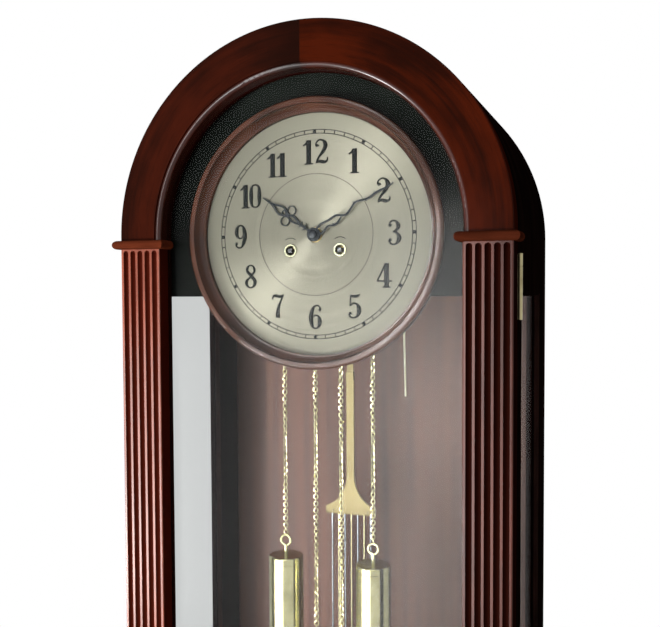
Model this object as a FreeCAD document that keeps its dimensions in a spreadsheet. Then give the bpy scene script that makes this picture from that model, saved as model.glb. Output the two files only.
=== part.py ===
# Arched longcase clock: a chain-driven movement with two weights behind a full-length glazed door.
# Millimetres. +Z up, +X right, the front faces -Y. The origin is the middle of the footprint on the floor.
# Most pieces are drawn about the dial: x right, y back from the door's front face, z up from the
# centre of the dial. The placement of each piece carries it from there to the floor's frame.
import FreeCAD, Part
import math
import os
import Sketcher
from FreeCAD import Placement, Rotation, Vector

document = FreeCAD.newDocument("arched_longcase_clock")
sheet = document.addObject("Spreadsheet::Sheet", "sizes")

SIZES = {
    # Case
    "dial_height": 1785,
    "case_radius": 234.5,
    "case_deep": 257,
    "case_wall": 16,
    "back_board_thick": 8,
    "board_slip": 0.2,
    "seat_gap": 0.3,
    # Base
    "plinth_wide": 500,
    "plinth_ahead": 43,
    "plinth_high": 90,
    "plinth_board": 12,
    "plinth_cove": 18,
    "plinth_lip": 6,
    "base_board": 18,
    "base_high": 330,
    "panel_wide": 340,
    "panel_high": 150,
    "panel_recess": 8,
    "panel_thick": 12,
    "panel_bevel": 22,
    "panel_slip": 0.4,
    "moulding_high": 30,
    "moulding_cove": 18,
    "moulding_fillet": 3,
    # Side windows
    "window_front": 60,
    "window_back_stile": 64,
    "window_top": 72,
    "window_sill": 132,
    "window_rebate": 6,
    "window_lip": 6,
    "glass_thick": 3,
    # Door
    "door_thick": 28,
    "door_gap": 1,
    "door_stile": 53,
    "door_foot_gap": 4,
    "door_rail_high": 70,
    "door_edge_round": 1.5,
    "door_lip_front": 7,
    "door_lip_step": 2,
    "door_lip_wide": 5,
    "door_lip_fillet": 6.5,
    "glass_front": 19.5,
    "glass_rebate": 8,
    "flute_pitch": 9.8,
    "flute_radius": 3.5,
    "flute_top_gap": 1.5,
    "flute_foot_gap": 40,
    "capital_high": 10.5,
    "capital_drop": 4,
    "capital_proud": 8,
    "capital_side": 7.4,
    "capital_round": 5.1,
    # Hinges
    "hinge_high": 70,
    "hinge_drop": 61.5,
    "hinge_foot": 65,
    "hinge_axis_out": 2.7,
    "hinge_knuckle": 2.5,
    "hinge_pin": 1.2,
    "hinge_leaf": 0.45,
    "hinge_leaf_wide": 20,
    "knuckle_gap": 0.3,
    "running_gap": 0.06,
    # Lock
    "lock_height": 1085,
    "key_shank": 3,
    "escutcheon_radius": 13,
    "escutcheon_thick": 1.6,
    "key_length": 24,
    "key_bow": 10,
    "key_bow_wire": 2.4,
    "cam_long": 15,
    "cam_wide": 8,
    "cam_thick": 3,
    "cam_gap": 0.6,
    "cam_slot_deep": 6,
    # Dial
    "dial_plane": 44,
    "dial_thick": 1.5,
    "mask_thick": 6,
    "mask_drop": 71.5,
    "mask_lap": 6,
    "ring_inset": 25.5,
    "ring_wide": 16,
    "ring_front": 25,
    "ring_flat": 7.5,
    "ring_bead": 4,
    "ring_cove": 16,
    "dial_lap": 5,
    "hand_hole": 9,
    "grommet_outer": 8,
    "grommet_inner": 5.65,
    "grommet_tube": 6.8,
    "grommet_hole": 6.9,
    "grommet_proud": 1.2,
    # Movement frame
    "plate_front": 58,
    "plate_thick": 3,
    "plate_room": 70,
    "plate_half_wide": 72,
    "plate_low": 56,
    "plate_top": 78,
    "plate_round": 6,
    "pillar_radius": 4,
    "pillar_inset": 6,
    "dial_foot_radius": 3,
    "dial_foot_out": 52,
    "dial_foot_up": 32,
    "seat_board_thick": 10,
    "seat_board_front": 52,
    "seat_board_deep": 90,
    "seat_board_tongue": 4,
    "chain_slot_wide": 54,
    "chain_slot_front": 76,
    "chain_slot_back": 99,
    "pivot_radius": 1.5,
    # Going train
    "escape_height": 36,
    "pallet_height": 62,
    "third_out": 8.718,
    "slow_out": 18.64,
    "slow_drop": 11.7,
    "escape_radius": 15,
    "escape_tooth": 3,
    "fly_out": 28.99,
    "fly_height": 6.23,
    "fly_half": 11,
    "fly_front": 70,
    "fly_long": 18,
    "lift_pin_out": 12,
    "wheel_thick": 2,
    "slow_depth": 104,
    "great_depth": 95,
    "centre_depth": 112,
    "third_depth": 121,
    "escape_depth": 75,
    "anchor_half": 14.5,
    "anchor_drop": 14.2,
    "crutch_gap": 6,
    "crutch_thick": 2,
    "crutch_long": 72,
    "fork_pin": 1,
    "cock_half": 8,
    "cock_high": 9,
    # Hands and motion work
    "motion_height": 18,
    "motion_front": 48,
    "hand_front": 37,
    "hand_thick": 1.2,
    "hour_hand_front": 40.8,
    "hand_boss": 8,
    "hand_line": 1.3,
    "minute_hand_gap": 29,
    "hour_hand_gap": 61.3,
    "cannon_radius": 2.6,
    "cannon_back": 57.5,
    "pipe_radius": 4.2,
    # Winding and chains
    "winder_out": 30.8,
    "winder_drop": 18,
    "winder_radius": 2.8,
    "winder_square": 4.6,
    "winder_front": 41.5,
    "winding_depth": 65.5,
    "sprocket_out": 36.7,
    "sprocket_drop": 34,
    "chain_turn": 20.2,
    "chain_depth": 85,
    "chain_half": 3.2,
    "sprocket_core": 16.7,
    "sprocket_flange": 22,
    "sprocket_cheek": 1.5,
    "free_chain_drop": 890,
    "chain_ring": 9,
    "chain_ring_wire": 2,
    # Weights
    "weight_radius": 21.5,
    "weight_high": 225,
    "weight_top_drop": 393,
    "weight_cap": 4,
    "weight_cap_round": 2,
    "hook_eye": 6.25,
    "hook_wire": 1.75,
    "hook_stem": 2.5,
    # Pendulum
    "pendulum_depth": 168,
    "leader_half": 4,
    "leader_thick": 1.2,
    "leader_drop": 171,
    "spring_thick": 0.4,
    "spring_high": 10,
    "stick_half": 5,
    "stick_thick": 2.5,
    "stick_top_drop": 182,
    "bracket_rise_drop": 308,
    "bracket_top_drop": 349,
    "bracket_foot_drop": 358.5,
    "bracket_half": 34,
    "bracket_flare": 43.5,
    "rod_radius": 1.4,
    "rod_pitch": 8.8,
    "rod_foot_drop": 690,
    "bob_drop": 820,
    "bob_radius": 82.5,
    "bob_thick": 34,
    "bob_rim": 5,
    "bob_curve": 242,
    "bob_flat": 6,
    "nut_radius": 10,
    "nut_high": 8,
    "tail_radius": 2,
    "tail_long": 30,
    # Gong and hammers
    "gong_block_high": 30,
    "gong_block_foot": 80,
    "gong_block_wide": 60,
    "gong_block_out": 4,
    "gong_gap": 34,
    "gong_block_deep": 44,
    "gong_rod_radius": 1.4,
    "gong_rod_pitch": 11,
    "gong_first_out": 14,
    "gong_lean": 7,
    "gong_long_drop": 210,
    "gong_short_drop": 96,
    "gong_step": 12,
    "hammer_reach": 48,
    "hammer_arbor_height": 30,
    "hammer_head_height": 60,
    "hammer_head_radius": 4,
    "hammer_head_long": 40,
    "hammer_rest_gap": 0.9,
    "hammer_ear": 1.5,
}

for row, (name, amount) in enumerate(SIZES.items(), start=1):
    sheet.set(f"A{row}", name)
    sheet.set(f"B{row}", str(amount))
    sheet.setAlias(f"B{row}", name)
document.recompute()


class Length:
    """A size of the sheet, or a sum of such sizes, with its value and the expression that binds it."""

    def __init__(self, text, amount):
        self.text = text
        self.amount = float(amount)

    def __float__(self):
        return self.amount

    def __add__(self, other):
        other = length(other)
        return Length(f"({self.text} + {other.text})", self.amount + other.amount)

    def __sub__(self, other):
        other = length(other)
        return Length(f"({self.text} - {other.text})", self.amount - other.amount)

    def __rsub__(self, other):
        return length(other) - self

    def __mul__(self, share):
        return Length(f"({self.text} * {share})", self.amount * share)

    def __truediv__(self, share):
        return Length(f"({self.text} / {share})", self.amount / share)

    def __neg__(self):
        return Length(f"(-1 * {self.text})", -self.amount)

    __radd__ = __add__
    __rmul__ = __mul__


def length(number):
    return number if isinstance(number, Length) else Length(str(number), number)


class Sheet:
    """The sheet's cells, read by name."""

    def __getattr__(self, name):
        return Length(f"sizes.{name}", float(sheet.get(name)))


size = Sheet()
nodes = []


def bind(thing, prop, amount):
    amount = length(amount)
    thing.setExpression(prop, amount.text)


def new_body(name):
    return document.addObject("PartDesign::Body", name)


def plane_of(body, role):
    return next(feature for feature in body.Origin.OriginFeatures if feature.Role == role)


def arc_between(start, end, radius):
    """Arc from start to end; a positive radius runs anticlockwise, a negative one clockwise."""
    chord = end - start
    rise = math.sqrt(max(radius * radius - chord.Length ** 2 / 4, 0))
    across = Vector(-chord.y, chord.x, 0).normalize()
    centre = (start + end) / 2 + across * math.copysign(rise, radius)
    circle = Part.Circle(centre, Vector(0, 0, 1), abs(radius))
    first = math.atan2(start.y - centre.y, start.x - centre.x)
    last = math.atan2(end.y - centre.y, end.x - centre.x)
    if radius < 0:
        first, last = last, first
    return Part.ArcOfCircle(circle, first, last)


def draw(sketch, corners, holes=()):
    """Closed outline through the corners. A corner with a third value is reached by an arc."""
    places = [Vector(float(corner[0]), float(corner[1]), 0) for corner in corners]
    ends = []
    for index, corner in enumerate(corners):
        start, end = places[index - 1], places[index]
        if len(corner) == 3:
            sketch.addGeometry(arc_between(start, end, float(corner[2])), False)
        else:
            sketch.addGeometry(Part.LineSegment(start, end), False)
        turned = len(corner) == 3 and float(corner[2]) < 0
        ends.append((2, 1) if turned else (1, 2))
    count = len(corners)
    for index in range(count):
        after = (index + 1) % count
        joint = Sketcher.Constraint("Coincident", index, ends[index][1], after, ends[after][0])
        sketch.addConstraint(joint)
    for index, corner in enumerate(corners):
        for kind, amount in zip(("DistanceX", "DistanceY"), corner):
            rule = Sketcher.Constraint(kind, -1, 1, index, ends[index][1], float(amount))
            fix(sketch, rule, amount)
        if len(corner) == 3:
            radius = length(corner[2])
            radius = radius if float(radius) > 0 else -radius
            fix(sketch, Sketcher.Constraint("Radius", index, float(radius)), radius)
    for across, up, radius in holes:
        centre = Vector(float(across), float(up), 0)
        edge = sketch.addGeometry(Part.Circle(centre, Vector(0, 0, 1), float(radius)), False)
        fix(sketch, Sketcher.Constraint("DistanceX", -1, 1, edge, 3, float(across)), across)
        fix(sketch, Sketcher.Constraint("DistanceY", -1, 1, edge, 3, float(up)), up)
        fix(sketch, Sketcher.Constraint("Radius", edge, float(radius)), radius)


def fix(sketch, rule, amount):
    index = sketch.addConstraint(rule)
    bind(sketch, f"Constraints[{index}]", amount)


def sketch_on(body, role, corners, height=0, holes=(), across=0):
    sketch = body.newObject("Sketcher::SketchObject", "outline")
    sketch.AttachmentSupport = (plane_of(body, role), [""])
    sketch.MapMode = "FlatFace"
    bind(sketch, ".AttachmentOffset.Base.z", height)
    bind(sketch, ".AttachmentOffset.Base.x", across)
    draw(sketch, corners, holes)
    return sketch


def pad(body, sketch, amount, away=False):
    feature = body.newObject("PartDesign::Pad", "pad")
    feature.Profile = sketch
    bind(feature, "Length", amount)
    feature.Reversed = away
    sketch.Visibility = False
    return feature


def pocket(body, sketch, amount, away=False):
    feature = body.newObject("PartDesign::Pocket", "pocket")
    feature.Profile = sketch
    bind(feature, "Length", amount)
    feature.Reversed = away
    return feature


def front_slab(body, corners, front, depth, holes=()):
    """Outline seen from the front, from the depth front back by depth."""
    return pad(body, sketch_on(body, "XZ_Plane", corners, -front, holes), depth, away=True)


def column(body, corners, foot, rise, holes=()):
    """Outline seen from above, from the height foot up by rise."""
    return pad(body, sketch_on(body, "XY_Plane", corners, foot, holes), rise)


def beam(body, corners, left, run):
    """Outline seen from the right, from the place left along X by run."""
    return pad(body, sketch_on(body, "YZ_Plane", corners, left), run)


def turned_about_depth(body, corners, angle=360, middle=False):
    """Outline of radius and depth, turned about the dial's axis."""
    sketch = sketch_on(body, "XY_Plane", corners)
    feature = body.newObject("PartDesign::Revolution", "turning")
    feature.Profile = sketch
    feature.ReferenceAxis = (sketch, ["V_Axis"])
    feature.Angle = angle
    feature.Midplane = middle
    return feature


def turned_about_height(body, corners):
    """Outline of radius and height, turned about the vertical."""
    sketch = sketch_on(body, "XZ_Plane", corners)
    feature = body.newObject("PartDesign::Revolution", "turning")
    feature.Profile = sketch
    feature.ReferenceAxis = (sketch, ["V_Axis"])
    feature.Angle = 360
    return feature


def block(name, low, span):
    """Box from its low corner by its span, both as three sizes."""
    thing = document.addObject("Part::Box", name)
    for prop, amount in zip(("Length", "Width", "Height"), span):
        bind(thing, prop, amount)
    move(thing, low)
    return thing


def rod(name, radius, long, place, axis="z"):
    """Cylinder from its place along an axis."""
    thing = document.addObject("Part::Cylinder", name)
    bind(thing, "Radius", radius)
    bind(thing, "Height", long)
    turns = {"x": Rotation(Vector(0, 1, 0), 90), "y": Rotation(Vector(-1, 0, 0), 90), "z": Rotation()}
    thing.Placement = Placement(Vector(), turns[axis])
    move(thing, place)
    return thing


def move(thing, place):
    for axis, amount in zip("xyz", place):
        bind(thing, f".Placement.Base.{axis}", amount)


def fuse(name, things):
    union = document.addObject("Part::MultiFuse", name)
    union.Shapes = things
    return union


def cut(name, base, tool):
    rest = document.addObject("Part::Cut", name)
    rest.Base = base
    rest.Tool = tool
    return rest


def group(name, things):
    compound = document.addObject("Part::Compound", name)
    compound.Links = things
    return compound


def mirrored(name, thing):
    copy = document.addObject("Part::Mirroring", name)
    copy.Source = thing
    copy.Base = Vector(0, 0, 0)
    copy.Normal = Vector(1, 0, 0)
    return copy


def shaped(name, shape):
    thing = document.addObject("Part::Feature", name)
    thing.Shape = shape
    return thing


def node(label, thing):
    """Finished sub-part, drawn in the floor's frame."""
    thing.Label = label
    if thing.Label != label:
        raise ValueError("label already taken: " + label)
    nodes.append(thing)
    return thing


def dial_node(label, thing):
    """Finished sub-part, drawn about the dial and carried to its place above the floor."""
    depth = plinth_deep / 2 - size.case_deep - size.door_gap - size.door_thick
    move(thing, (0, depth, size.dial_height))
    return node(label, thing)


# Heights and widths that several pieces share, all about the dial.
case_inside = size.case_radius - size.case_wall
trunk_foot = size.base_high + size.base_board - size.dial_height
case_front = size.door_thick + size.door_gap
case_back = case_front + size.case_deep
plinth_deep = size.case_deep + size.plinth_ahead
board_front = case_back - size.back_board_thick
window_back = case_back - size.window_back_stile
door_foot = trunk_foot + size.door_foot_gap
door_inside = size.case_radius - size.door_stile
ring_outer = door_inside - size.ring_inset
dial_radius = ring_outer - size.ring_wide
mask_hole = ring_outer - size.mask_lap
glass_edge = door_inside + size.glass_rebate
glass_back = size.glass_front + size.glass_thick
arch_foot = -size.capital_drop
capital_foot = arch_foot - size.capital_high


def arched(half_wide, foot):
    """Board with a flat foot, straight sides and a round head about the dial."""
    return [
        (half_wide, foot),
        (half_wide, 0),
        (0, half_wide, half_wide),
        (-half_wide, 0, half_wide),
        (-half_wide, foot),
    ]


def rectangle(low_x, low_y, high_x, high_y):
    return [(low_x, low_y), (high_x, low_y), (high_x, high_y), (low_x, high_y)]


# Plinth and base moulding: boards mitred at the front corners.
def mitred_strip(name, profile, proud, run, both_ends):
    """Moulded board along X with its back on the X axis; its left end, or both, cut at 45 degrees."""
    body = new_body(name)
    left = -run / 2 - proud
    whole = run + proud * 2 if both_ends else run + proud
    beam(body, profile, left, whole)
    high = size.plinth_high
    for side in (-1, 1) if both_ends else (-1,):
        corner = side * run / 2
        tip = corner + side * proud * 2
        corners = [(corner, 0), (tip, -proud * 2), (tip, 0)]
        sketch = sketch_on(body, "XY_Plane", corners, -high)
        pocket(body, sketch, high * 6, away=True)
    return body


def stand_strips(label, profile, proud, inner_wide, inner_front, inner_back):
    """Front strip and two side strips round a box."""
    front = mitred_strip(label + "_front", profile, proud, inner_wide, True)
    move(front, (0, inner_front, 0))
    run = inner_back - inner_front
    right = mitred_strip(label + "_right", profile, proud, run, False)
    right.Placement = Placement(Vector(), Rotation(Vector(0, 0, 1), 90))
    move(right, (inner_wide / 2, inner_front + run / 2, 0))
    left = mirrored(label + "_left", right)
    return node(label, group(label, [front, right, left]))


board = size.plinth_board
base_wide = size.plinth_wide - board * 2
base_front = board - plinth_deep / 2
base_back = plinth_deep / 2
plinth_profile = [
    (0, 0),
    (-board, 0),
    (-board, size.plinth_high - size.plinth_cove - size.plinth_lip),
    (-board / 2, size.plinth_high - size.plinth_lip, size.plinth_cove),
    (-board / 2, size.plinth_high),
    (0, size.plinth_high),
]
stand_strips("plinth", plinth_profile, board, base_wide, base_front, base_back)

moulding_top = size.base_high + size.base_board
moulding_foot = moulding_top - size.moulding_high
moulding_profile = [
    (0, moulding_foot),
    (-size.moulding_fillet, moulding_foot),
    (-board, moulding_foot + size.moulding_cove, size.moulding_cove),
    (-board, moulding_top - size.moulding_fillet),
    (-board + size.moulding_fillet, moulding_top, -size.moulding_fillet),
    (0, moulding_top),
]
stand_strips("base_moulding", moulding_profile, board, base_wide, base_front, base_back)

# Base box: four boards between a floor and the board that carries the trunk.
thick = size.base_board
half_base = base_wide / 2
side_run = base_back - base_front - thick
front_board = new_body("base_front_board")
front_slab(front_board, rectangle(-half_base, 0, half_base, size.base_high), base_front, thick)
panel_middle = (size.plinth_high + moulding_foot) / 2
recess_wide = size.panel_wide / 2
recess_high = size.panel_high / 2
recess = rectangle(-recess_wide, panel_middle - recess_high, recess_wide, panel_middle + recess_high)
recess_sketch = sketch_on(front_board, "XZ_Plane", recess, -base_front)
pocket(front_board, recess_sketch, size.panel_recess)
boards = [
    front_board,
    block("base_left_board", (-half_base, base_front + thick, 0), (thick, side_run, size.base_high)),
    block("base_right_board", (half_base - thick, base_front + thick, 0), (thick, side_run, size.base_high)),
    block(
        "base_back_board",
        (thick - half_base, base_back - thick, 0),
        (base_wide - thick * 2, thick, size.base_high),
    ),
    block(
        "base_floor",
        (thick - half_base, base_front + thick, 0),
        (base_wide - thick * 2, side_run - thick, thick),
    ),
    block(
        "trunk_floor",
        (-half_base, base_front, size.base_high),
        (base_wide, base_back - base_front, thick),
    ),
]
node("base_box", group("base_box", boards))

panel_half_wide = recess_wide - size.panel_slip
panel_half_high = recess_high - size.panel_slip
panel = new_body("raised_panel")
panel_rise = size.panel_thick - size.panel_recess
edge_outline = rectangle(-panel_half_wide, -panel_half_high, panel_half_wide, panel_half_high)
field_wide = panel_half_wide - size.panel_bevel
field_high = panel_half_high - size.panel_bevel
field_outline = rectangle(-field_wide, -field_high, field_wide, field_high)
front_slab(panel, edge_outline, base_front, size.panel_recess)
slope = panel.newObject("PartDesign::AdditiveLoft", "fielded_slope")
slope.Profile = sketch_on(panel, "XZ_Plane", edge_outline, -base_front)
slope.Sections = [sketch_on(panel, "XZ_Plane", field_outline, panel_rise - base_front)]
slope.Ruled = True
move(panel, (0, 0, panel_middle))
node("base_panel", panel)


# Trunk sides: stiles and rails about a glazed window, each a board of its own, and the beads.
glass_shoulder = size.case_radius - size.window_lip
window_foot = trunk_foot + size.window_sill


def side_boards(name, side):
    outer = side * size.case_radius
    inner = side * case_inside
    shoulder = side * glass_shoulder
    front, back = size.window_front, window_back
    lap = size.window_rebate
    parts = []
    for part, edge, step, far in (("front", front, -lap, case_front), ("back", back, lap, case_back)):
        stile = new_body(f"{name}_{part}_stile")
        corners = [(outer, far), (outer, edge), (shoulder, edge), (shoulder, edge + step),
                   (inner, edge + step), (inner, far)]
        column(stile, corners, trunk_foot, -trunk_foot)
        parts.append(stile)
    plan = [(outer, front), (shoulder, front), (shoulder, front - lap), (inner, front - lap),
            (inner, back + lap), (shoulder, back + lap), (shoulder, back), (outer, back)]
    low_x = inner if side > 0 else shoulder
    depth = case_inside * -1 + glass_shoulder
    for part, foot, top, notch in (
        ("top", -size.window_top, 0, -size.window_top),
        ("foot", trunk_foot, window_foot, window_foot - lap),
    ):
        rail = new_body(f"{name}_{part}_rail")
        column(rail, plan, foot, top - foot)
        rebate_span = (depth, back - front + lap * 2, lap)
        rebate = block(f"{name}_{part}_rebate", (low_x, front - lap, notch), rebate_span)
        parts.append(cut(f"{name}_{part}_rebated_rail", rail, rebate))
    bead_low = inner if side > 0 else shoulder + size.glass_thick
    bead_deep = depth - size.glass_thick
    bead = lap - size.board_slip
    wide = back - front + bead * 2
    tall = -size.window_top - window_foot
    spans = {
        "top": ((bead_low, front - bead, -size.window_top), (bead_deep, wide, bead)),
        "foot": ((bead_low, front - bead, window_foot - bead), (bead_deep, wide, bead)),
        "front": ((bead_low, front - bead, window_foot), (bead_deep, bead, tall)),
        "back": ((bead_low, back, window_foot), (bead_deep, bead, tall)),
    }
    for part, (low, span) in spans.items():
        parts.append(block(f"{name}_bead_{part}", low, span))
    return parts


# The rails of both sides are housed for the seat board, and the left stile for the lock's cam.
def housed(parts, side):
    depth = size.seat_board_tongue + size.seat_gap
    low = case_inside if side > 0 else -case_inside - depth
    foot = -size.plate_low - size.seat_board_thick - size.board_slip
    groove = block(
        "seat_groove",
        (low, size.seat_board_front - size.board_slip, foot),
        (depth, size.seat_board_deep + size.board_slip * 2, size.seat_board_thick + size.board_slip * 2),
    )
    stile_groove = block(
        "stile_groove",
        (low, size.seat_board_front - size.board_slip, foot),
        (depth, size.seat_board_deep, size.seat_board_thick + size.board_slip * 2),
    )
    parts[2] = cut("housed_rail", parts[2], groove)
    parts[0] = cut("housed_stile", parts[0], stile_groove)
    return parts


right_side = housed(side_boards("case_side_right", 1), 1)
dial_node("case_side_right", group("case_side_right", right_side))
left_side = housed(side_boards("case_side_left", -1), -1)
lock_drop = size.lock_height - size.dial_height
cam_room = size.cam_long + size.cam_wide
cam_slot = block(
    "cam_slot",
    (-case_inside - size.cam_slot_deep, case_front, lock_drop - cam_room / 2),
    (size.cam_slot_deep, size.cam_thick + size.cam_gap, cam_room),
)
left_side[0] = cut("slotted_stile", left_side[0], cam_slot)
dial_node("case_side_left", group("case_side_left", left_side))

panes = []
pane_rim = size.window_rebate - size.seat_gap
for side in (-1, 1):
    low = glass_shoulder - size.glass_thick if side > 0 else -glass_shoulder
    panes.append(block(
        "side_pane",
        (low, size.window_front - pane_rim, window_foot - pane_rim),
        (
            size.glass_thick,
            window_back - size.window_front + pane_rim * 2,
            pane_rim * 2 - size.window_top - window_foot,
        ),
    ))
dial_node("side_glass", group("side_glass", panes))

# Round head of the case: a bent board whose ends stand on the sides.
head = new_body("case_head")
front_slab(
    head,
    [
        (size.case_radius, 0),
        (0, size.case_radius, size.case_radius),
        (-size.case_radius, 0, size.case_radius),
        (-case_inside, 0),
        (0, case_inside, -case_inside),
        (case_inside, 0, -case_inside),
    ],
    case_front,
    size.case_deep,
)
dial_node("case_head", head)

back_board = new_body("back_board")
front_slab(back_board, arched(case_inside - size.board_slip, trunk_foot), board_front, size.back_board_thick)
dial_node("back_board", back_board)

# Seat board that carries the movement, tongued into the sides and slotted for the chains.
seat_half = case_inside + size.seat_board_tongue
seat = new_body("seat_board")
seat_corners = rectangle(
    -seat_half,
    size.seat_board_front,
    seat_half,
    size.seat_board_front + size.seat_board_deep,
)
seat_foot = -size.plate_low - size.seat_board_thick
column(seat, seat_corners, seat_foot, size.seat_board_thick)
for side in (-1, 1):
    middle = side * size.sprocket_out
    slot = rectangle(
        middle - size.chain_slot_wide / 2,
        size.chain_slot_front,
        middle + size.chain_slot_wide / 2,
        size.chain_slot_back,
    )
    pocket(seat, sketch_on(seat, "XY_Plane", slot, -size.plate_low), size.seat_board_thick)
dial_node("seat_board", seat)

# Mask board: fills the round head about the dial and ends straight below it.
mask_front = size.dial_plane - size.mask_thick
mask = new_body("dial_mask")
front_slab(
    mask,
    arched(case_inside - size.board_slip, -size.mask_drop),
    mask_front,
    size.mask_thick,
)
hole = sketch_on(mask, "XZ_Plane", [], -mask_front, [(0, 0, mask_hole)])
pocket(mask, hole, size.mask_thick)
dial_node("dial_mask", mask)

# Wooden ring round the dial, in two halves that meet above and below it.
ring_half = new_body("dial_ring_half")
spigot = mask_hole - size.board_slip
turned_about_depth(
    ring_half,
    [
        (dial_radius, size.dial_plane),
        (spigot, size.dial_plane),
        (spigot, mask_front),
        (ring_outer, mask_front),
        (ring_outer, size.ring_front + size.ring_bead),
        (ring_outer - size.ring_bead, size.ring_front, -size.ring_bead),
        (ring_outer - size.ring_flat, size.ring_front),
        (dial_radius + size.ring_bead / 2, mask_front, size.ring_cove),
        (dial_radius, mask_front),
    ],
    180,
    middle=True,
)
dial_node("dial_ring_right", group("dial_ring_right", [ring_half]))
dial_node("dial_ring_left", mirrored("dial_ring_left", ring_half))

# Dial: a disc of sheet metal with brass eyelets in its two winding holes.
winders = [(side * size.winder_out, -size.winder_drop) for side in (-1, 1)]
dial = new_body("dial_disc")
dial_holes = [(0, 0, mask_hole + size.dial_lap), (0, 0, size.hand_hole)]
dial_holes += [(across, up, size.grommet_hole) for across, up in winders]
front_slab(dial, [], size.dial_plane, size.dial_thick, dial_holes)
dial_node("dial_disc", dial)

eyelet = new_body("winding_eyelet")
eyelet_face = size.dial_plane - size.grommet_proud
eyelet_back = size.dial_plane + size.dial_thick + size.grommet_proud
turned_about_depth(
    eyelet,
    [
        (size.grommet_inner, eyelet_face),
        (size.grommet_outer - size.grommet_proud / 2, eyelet_face),
        (size.grommet_outer, size.dial_plane),
        (size.grommet_tube, size.dial_plane),
        (size.grommet_tube, eyelet_back),
        (size.grommet_inner, eyelet_back),
    ],
)
move(eyelet, (size.winder_out, 0, -size.winder_drop))
dial_node("dial_eyelets", group("dial_eyelets", [eyelet, mirrored("left_eyelet", eyelet)]))

# Door: a round head in two halves, two fluted stiles under half-round capitals, and a foot rail.
head_section = [
    (size.case_radius, size.door_thick),
    (glass_edge, size.door_thick),
    (glass_edge, size.glass_front),
    (door_inside, size.glass_front),
    (door_inside, size.door_lip_front),
    (door_inside + size.door_lip_wide, size.door_lip_step, size.door_lip_wide),
    (door_inside + size.door_lip_fillet, size.door_lip_step),
    (door_inside + size.door_lip_fillet, 0),
    (size.case_radius - size.door_edge_round, 0),
    (size.case_radius, size.door_edge_round, size.door_edge_round),
]
arch = new_body("door_arch_half")
turned_about_depth(arch, head_section, 90).Reversed = True
pad(arch, sketch_on(arch, "XY_Plane", head_section), size.capital_drop, away=True)
dial_node("door_arch_right", group("door_arch_right", [arch]))
dial_node("door_arch_left", mirrored("door_arch_left", arch))

stile = new_body("fluted_stile")
stile_section = [
    (size.case_radius, size.door_thick),
    (glass_edge, size.door_thick),
    (glass_edge, size.glass_front),
    (door_inside, size.glass_front),
    (door_inside, size.door_edge_round),
    (door_inside + size.door_edge_round, 0, size.door_edge_round),
    (size.case_radius - size.door_edge_round, 0),
    (size.case_radius, size.door_edge_round, size.door_edge_round),
]
column(stile, stile_section, door_foot, capital_foot - door_foot)
flute_low = door_foot + size.flute_foot_gap
flute_high = capital_foot - size.flute_top_gap
flute_outline = [
    (0, flute_low),
    (size.flute_radius, flute_low + size.flute_radius, size.flute_radius),
    (size.flute_radius, flute_high - size.flute_radius),
    (0, flute_high, size.flute_radius),
]
stile_middle = size.case_radius - size.door_stile / 2
flute_count = 5
first_flute = stile_middle - size.flute_pitch * (flute_count - 1) / 2
flute_sketch = sketch_on(stile, "XZ_Plane", flute_outline, 0, (), first_flute)
document.recompute()
flute = stile.newObject("PartDesign::Groove", "flute")
flute.Profile = flute_sketch
flute.ReferenceAxis = (flute_sketch, ["V_Axis"])
flute.Angle = 360
document.recompute()
flutes = stile.newObject("PartDesign::LinearPattern", "flutes")
flutes.Originals = [flute]
flutes.Direction = (flute_sketch, ["H_Axis"])
bind(flutes, "Length", size.flute_pitch * (flute_count - 1))
flutes.Occurrences = flute_count
stile.Tip = flutes
dial_node("door_stile_right", group("door_stile_right", [stile]))

lock_drop = size.lock_height - size.dial_height
key_bore = rod(
    "key_bore",
    size.key_shank + size.running_gap,
    size.door_thick,
    (-stile_middle, 0, lock_drop),
    "y",
)
bored_stile = cut("door_stile_left", mirrored("left_stile", stile), key_bore)
dial_node("door_stile_left", bored_stile)

capital = new_body("capital_right")
capital_outer = size.case_radius + size.capital_side
capital_inner = door_inside - size.capital_proud
capital_plan = [
    (capital_outer, size.door_thick),
    (glass_edge, size.door_thick),
    (glass_edge, size.glass_front),
    (capital_inner, size.glass_front),
    (capital_inner, -size.capital_proud),
    (capital_outer, -size.capital_proud),
]
column(capital, capital_plan, capital_foot, size.capital_high)
document.recompute()
plain_capital = capital.Tip


def level_edges_on(shape, faces):
    """Names of the level edges that lie in one of the given upright planes."""
    names = []
    for index, edge in enumerate(shape.Edges, start=1):
        first, last = edge.Vertexes[0].Point, edge.Vertexes[-1].Point
        for axis, amount in faces:
            spots = (first[axis] - float(amount), last[axis] - float(amount), first.z - last.z)
            if max(abs(spot) for spot in spots) < float(size.seat_gap):
                names.append(f"Edge{index}")
    return names


rounded_faces = [(0, capital_outer), (0, capital_inner), (1, -size.capital_proud)]
bullnose = capital.newObject("PartDesign::Fillet", "bullnose")
bullnose.Base = (plain_capital, level_edges_on(plain_capital.Shape, rounded_faces))
bind(bullnose, "Radius", size.capital_round)
dial_node("door_capitals", group("door_capitals", [capital, mirrored("capital_left", capital)]))

foot_rail = new_body("door_foot_rail")
rail_top = door_foot + size.door_rail_high
beam(
    foot_rail,
    [
        (size.door_thick, door_foot),
        (size.door_thick, rail_top - size.glass_rebate),
        (size.glass_front, rail_top - size.glass_rebate),
        (size.glass_front, rail_top),
        (size.door_lip_front, rail_top),
        (size.door_lip_step, rail_top - size.door_lip_wide, size.door_lip_wide),
        (size.door_lip_step, rail_top - size.door_lip_fillet),
        (0, rail_top - size.door_lip_fillet),
        (0, door_foot),
    ],
    -door_inside,
    door_inside * 2,
)
dial_node("door_foot_rail", foot_rail)

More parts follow.
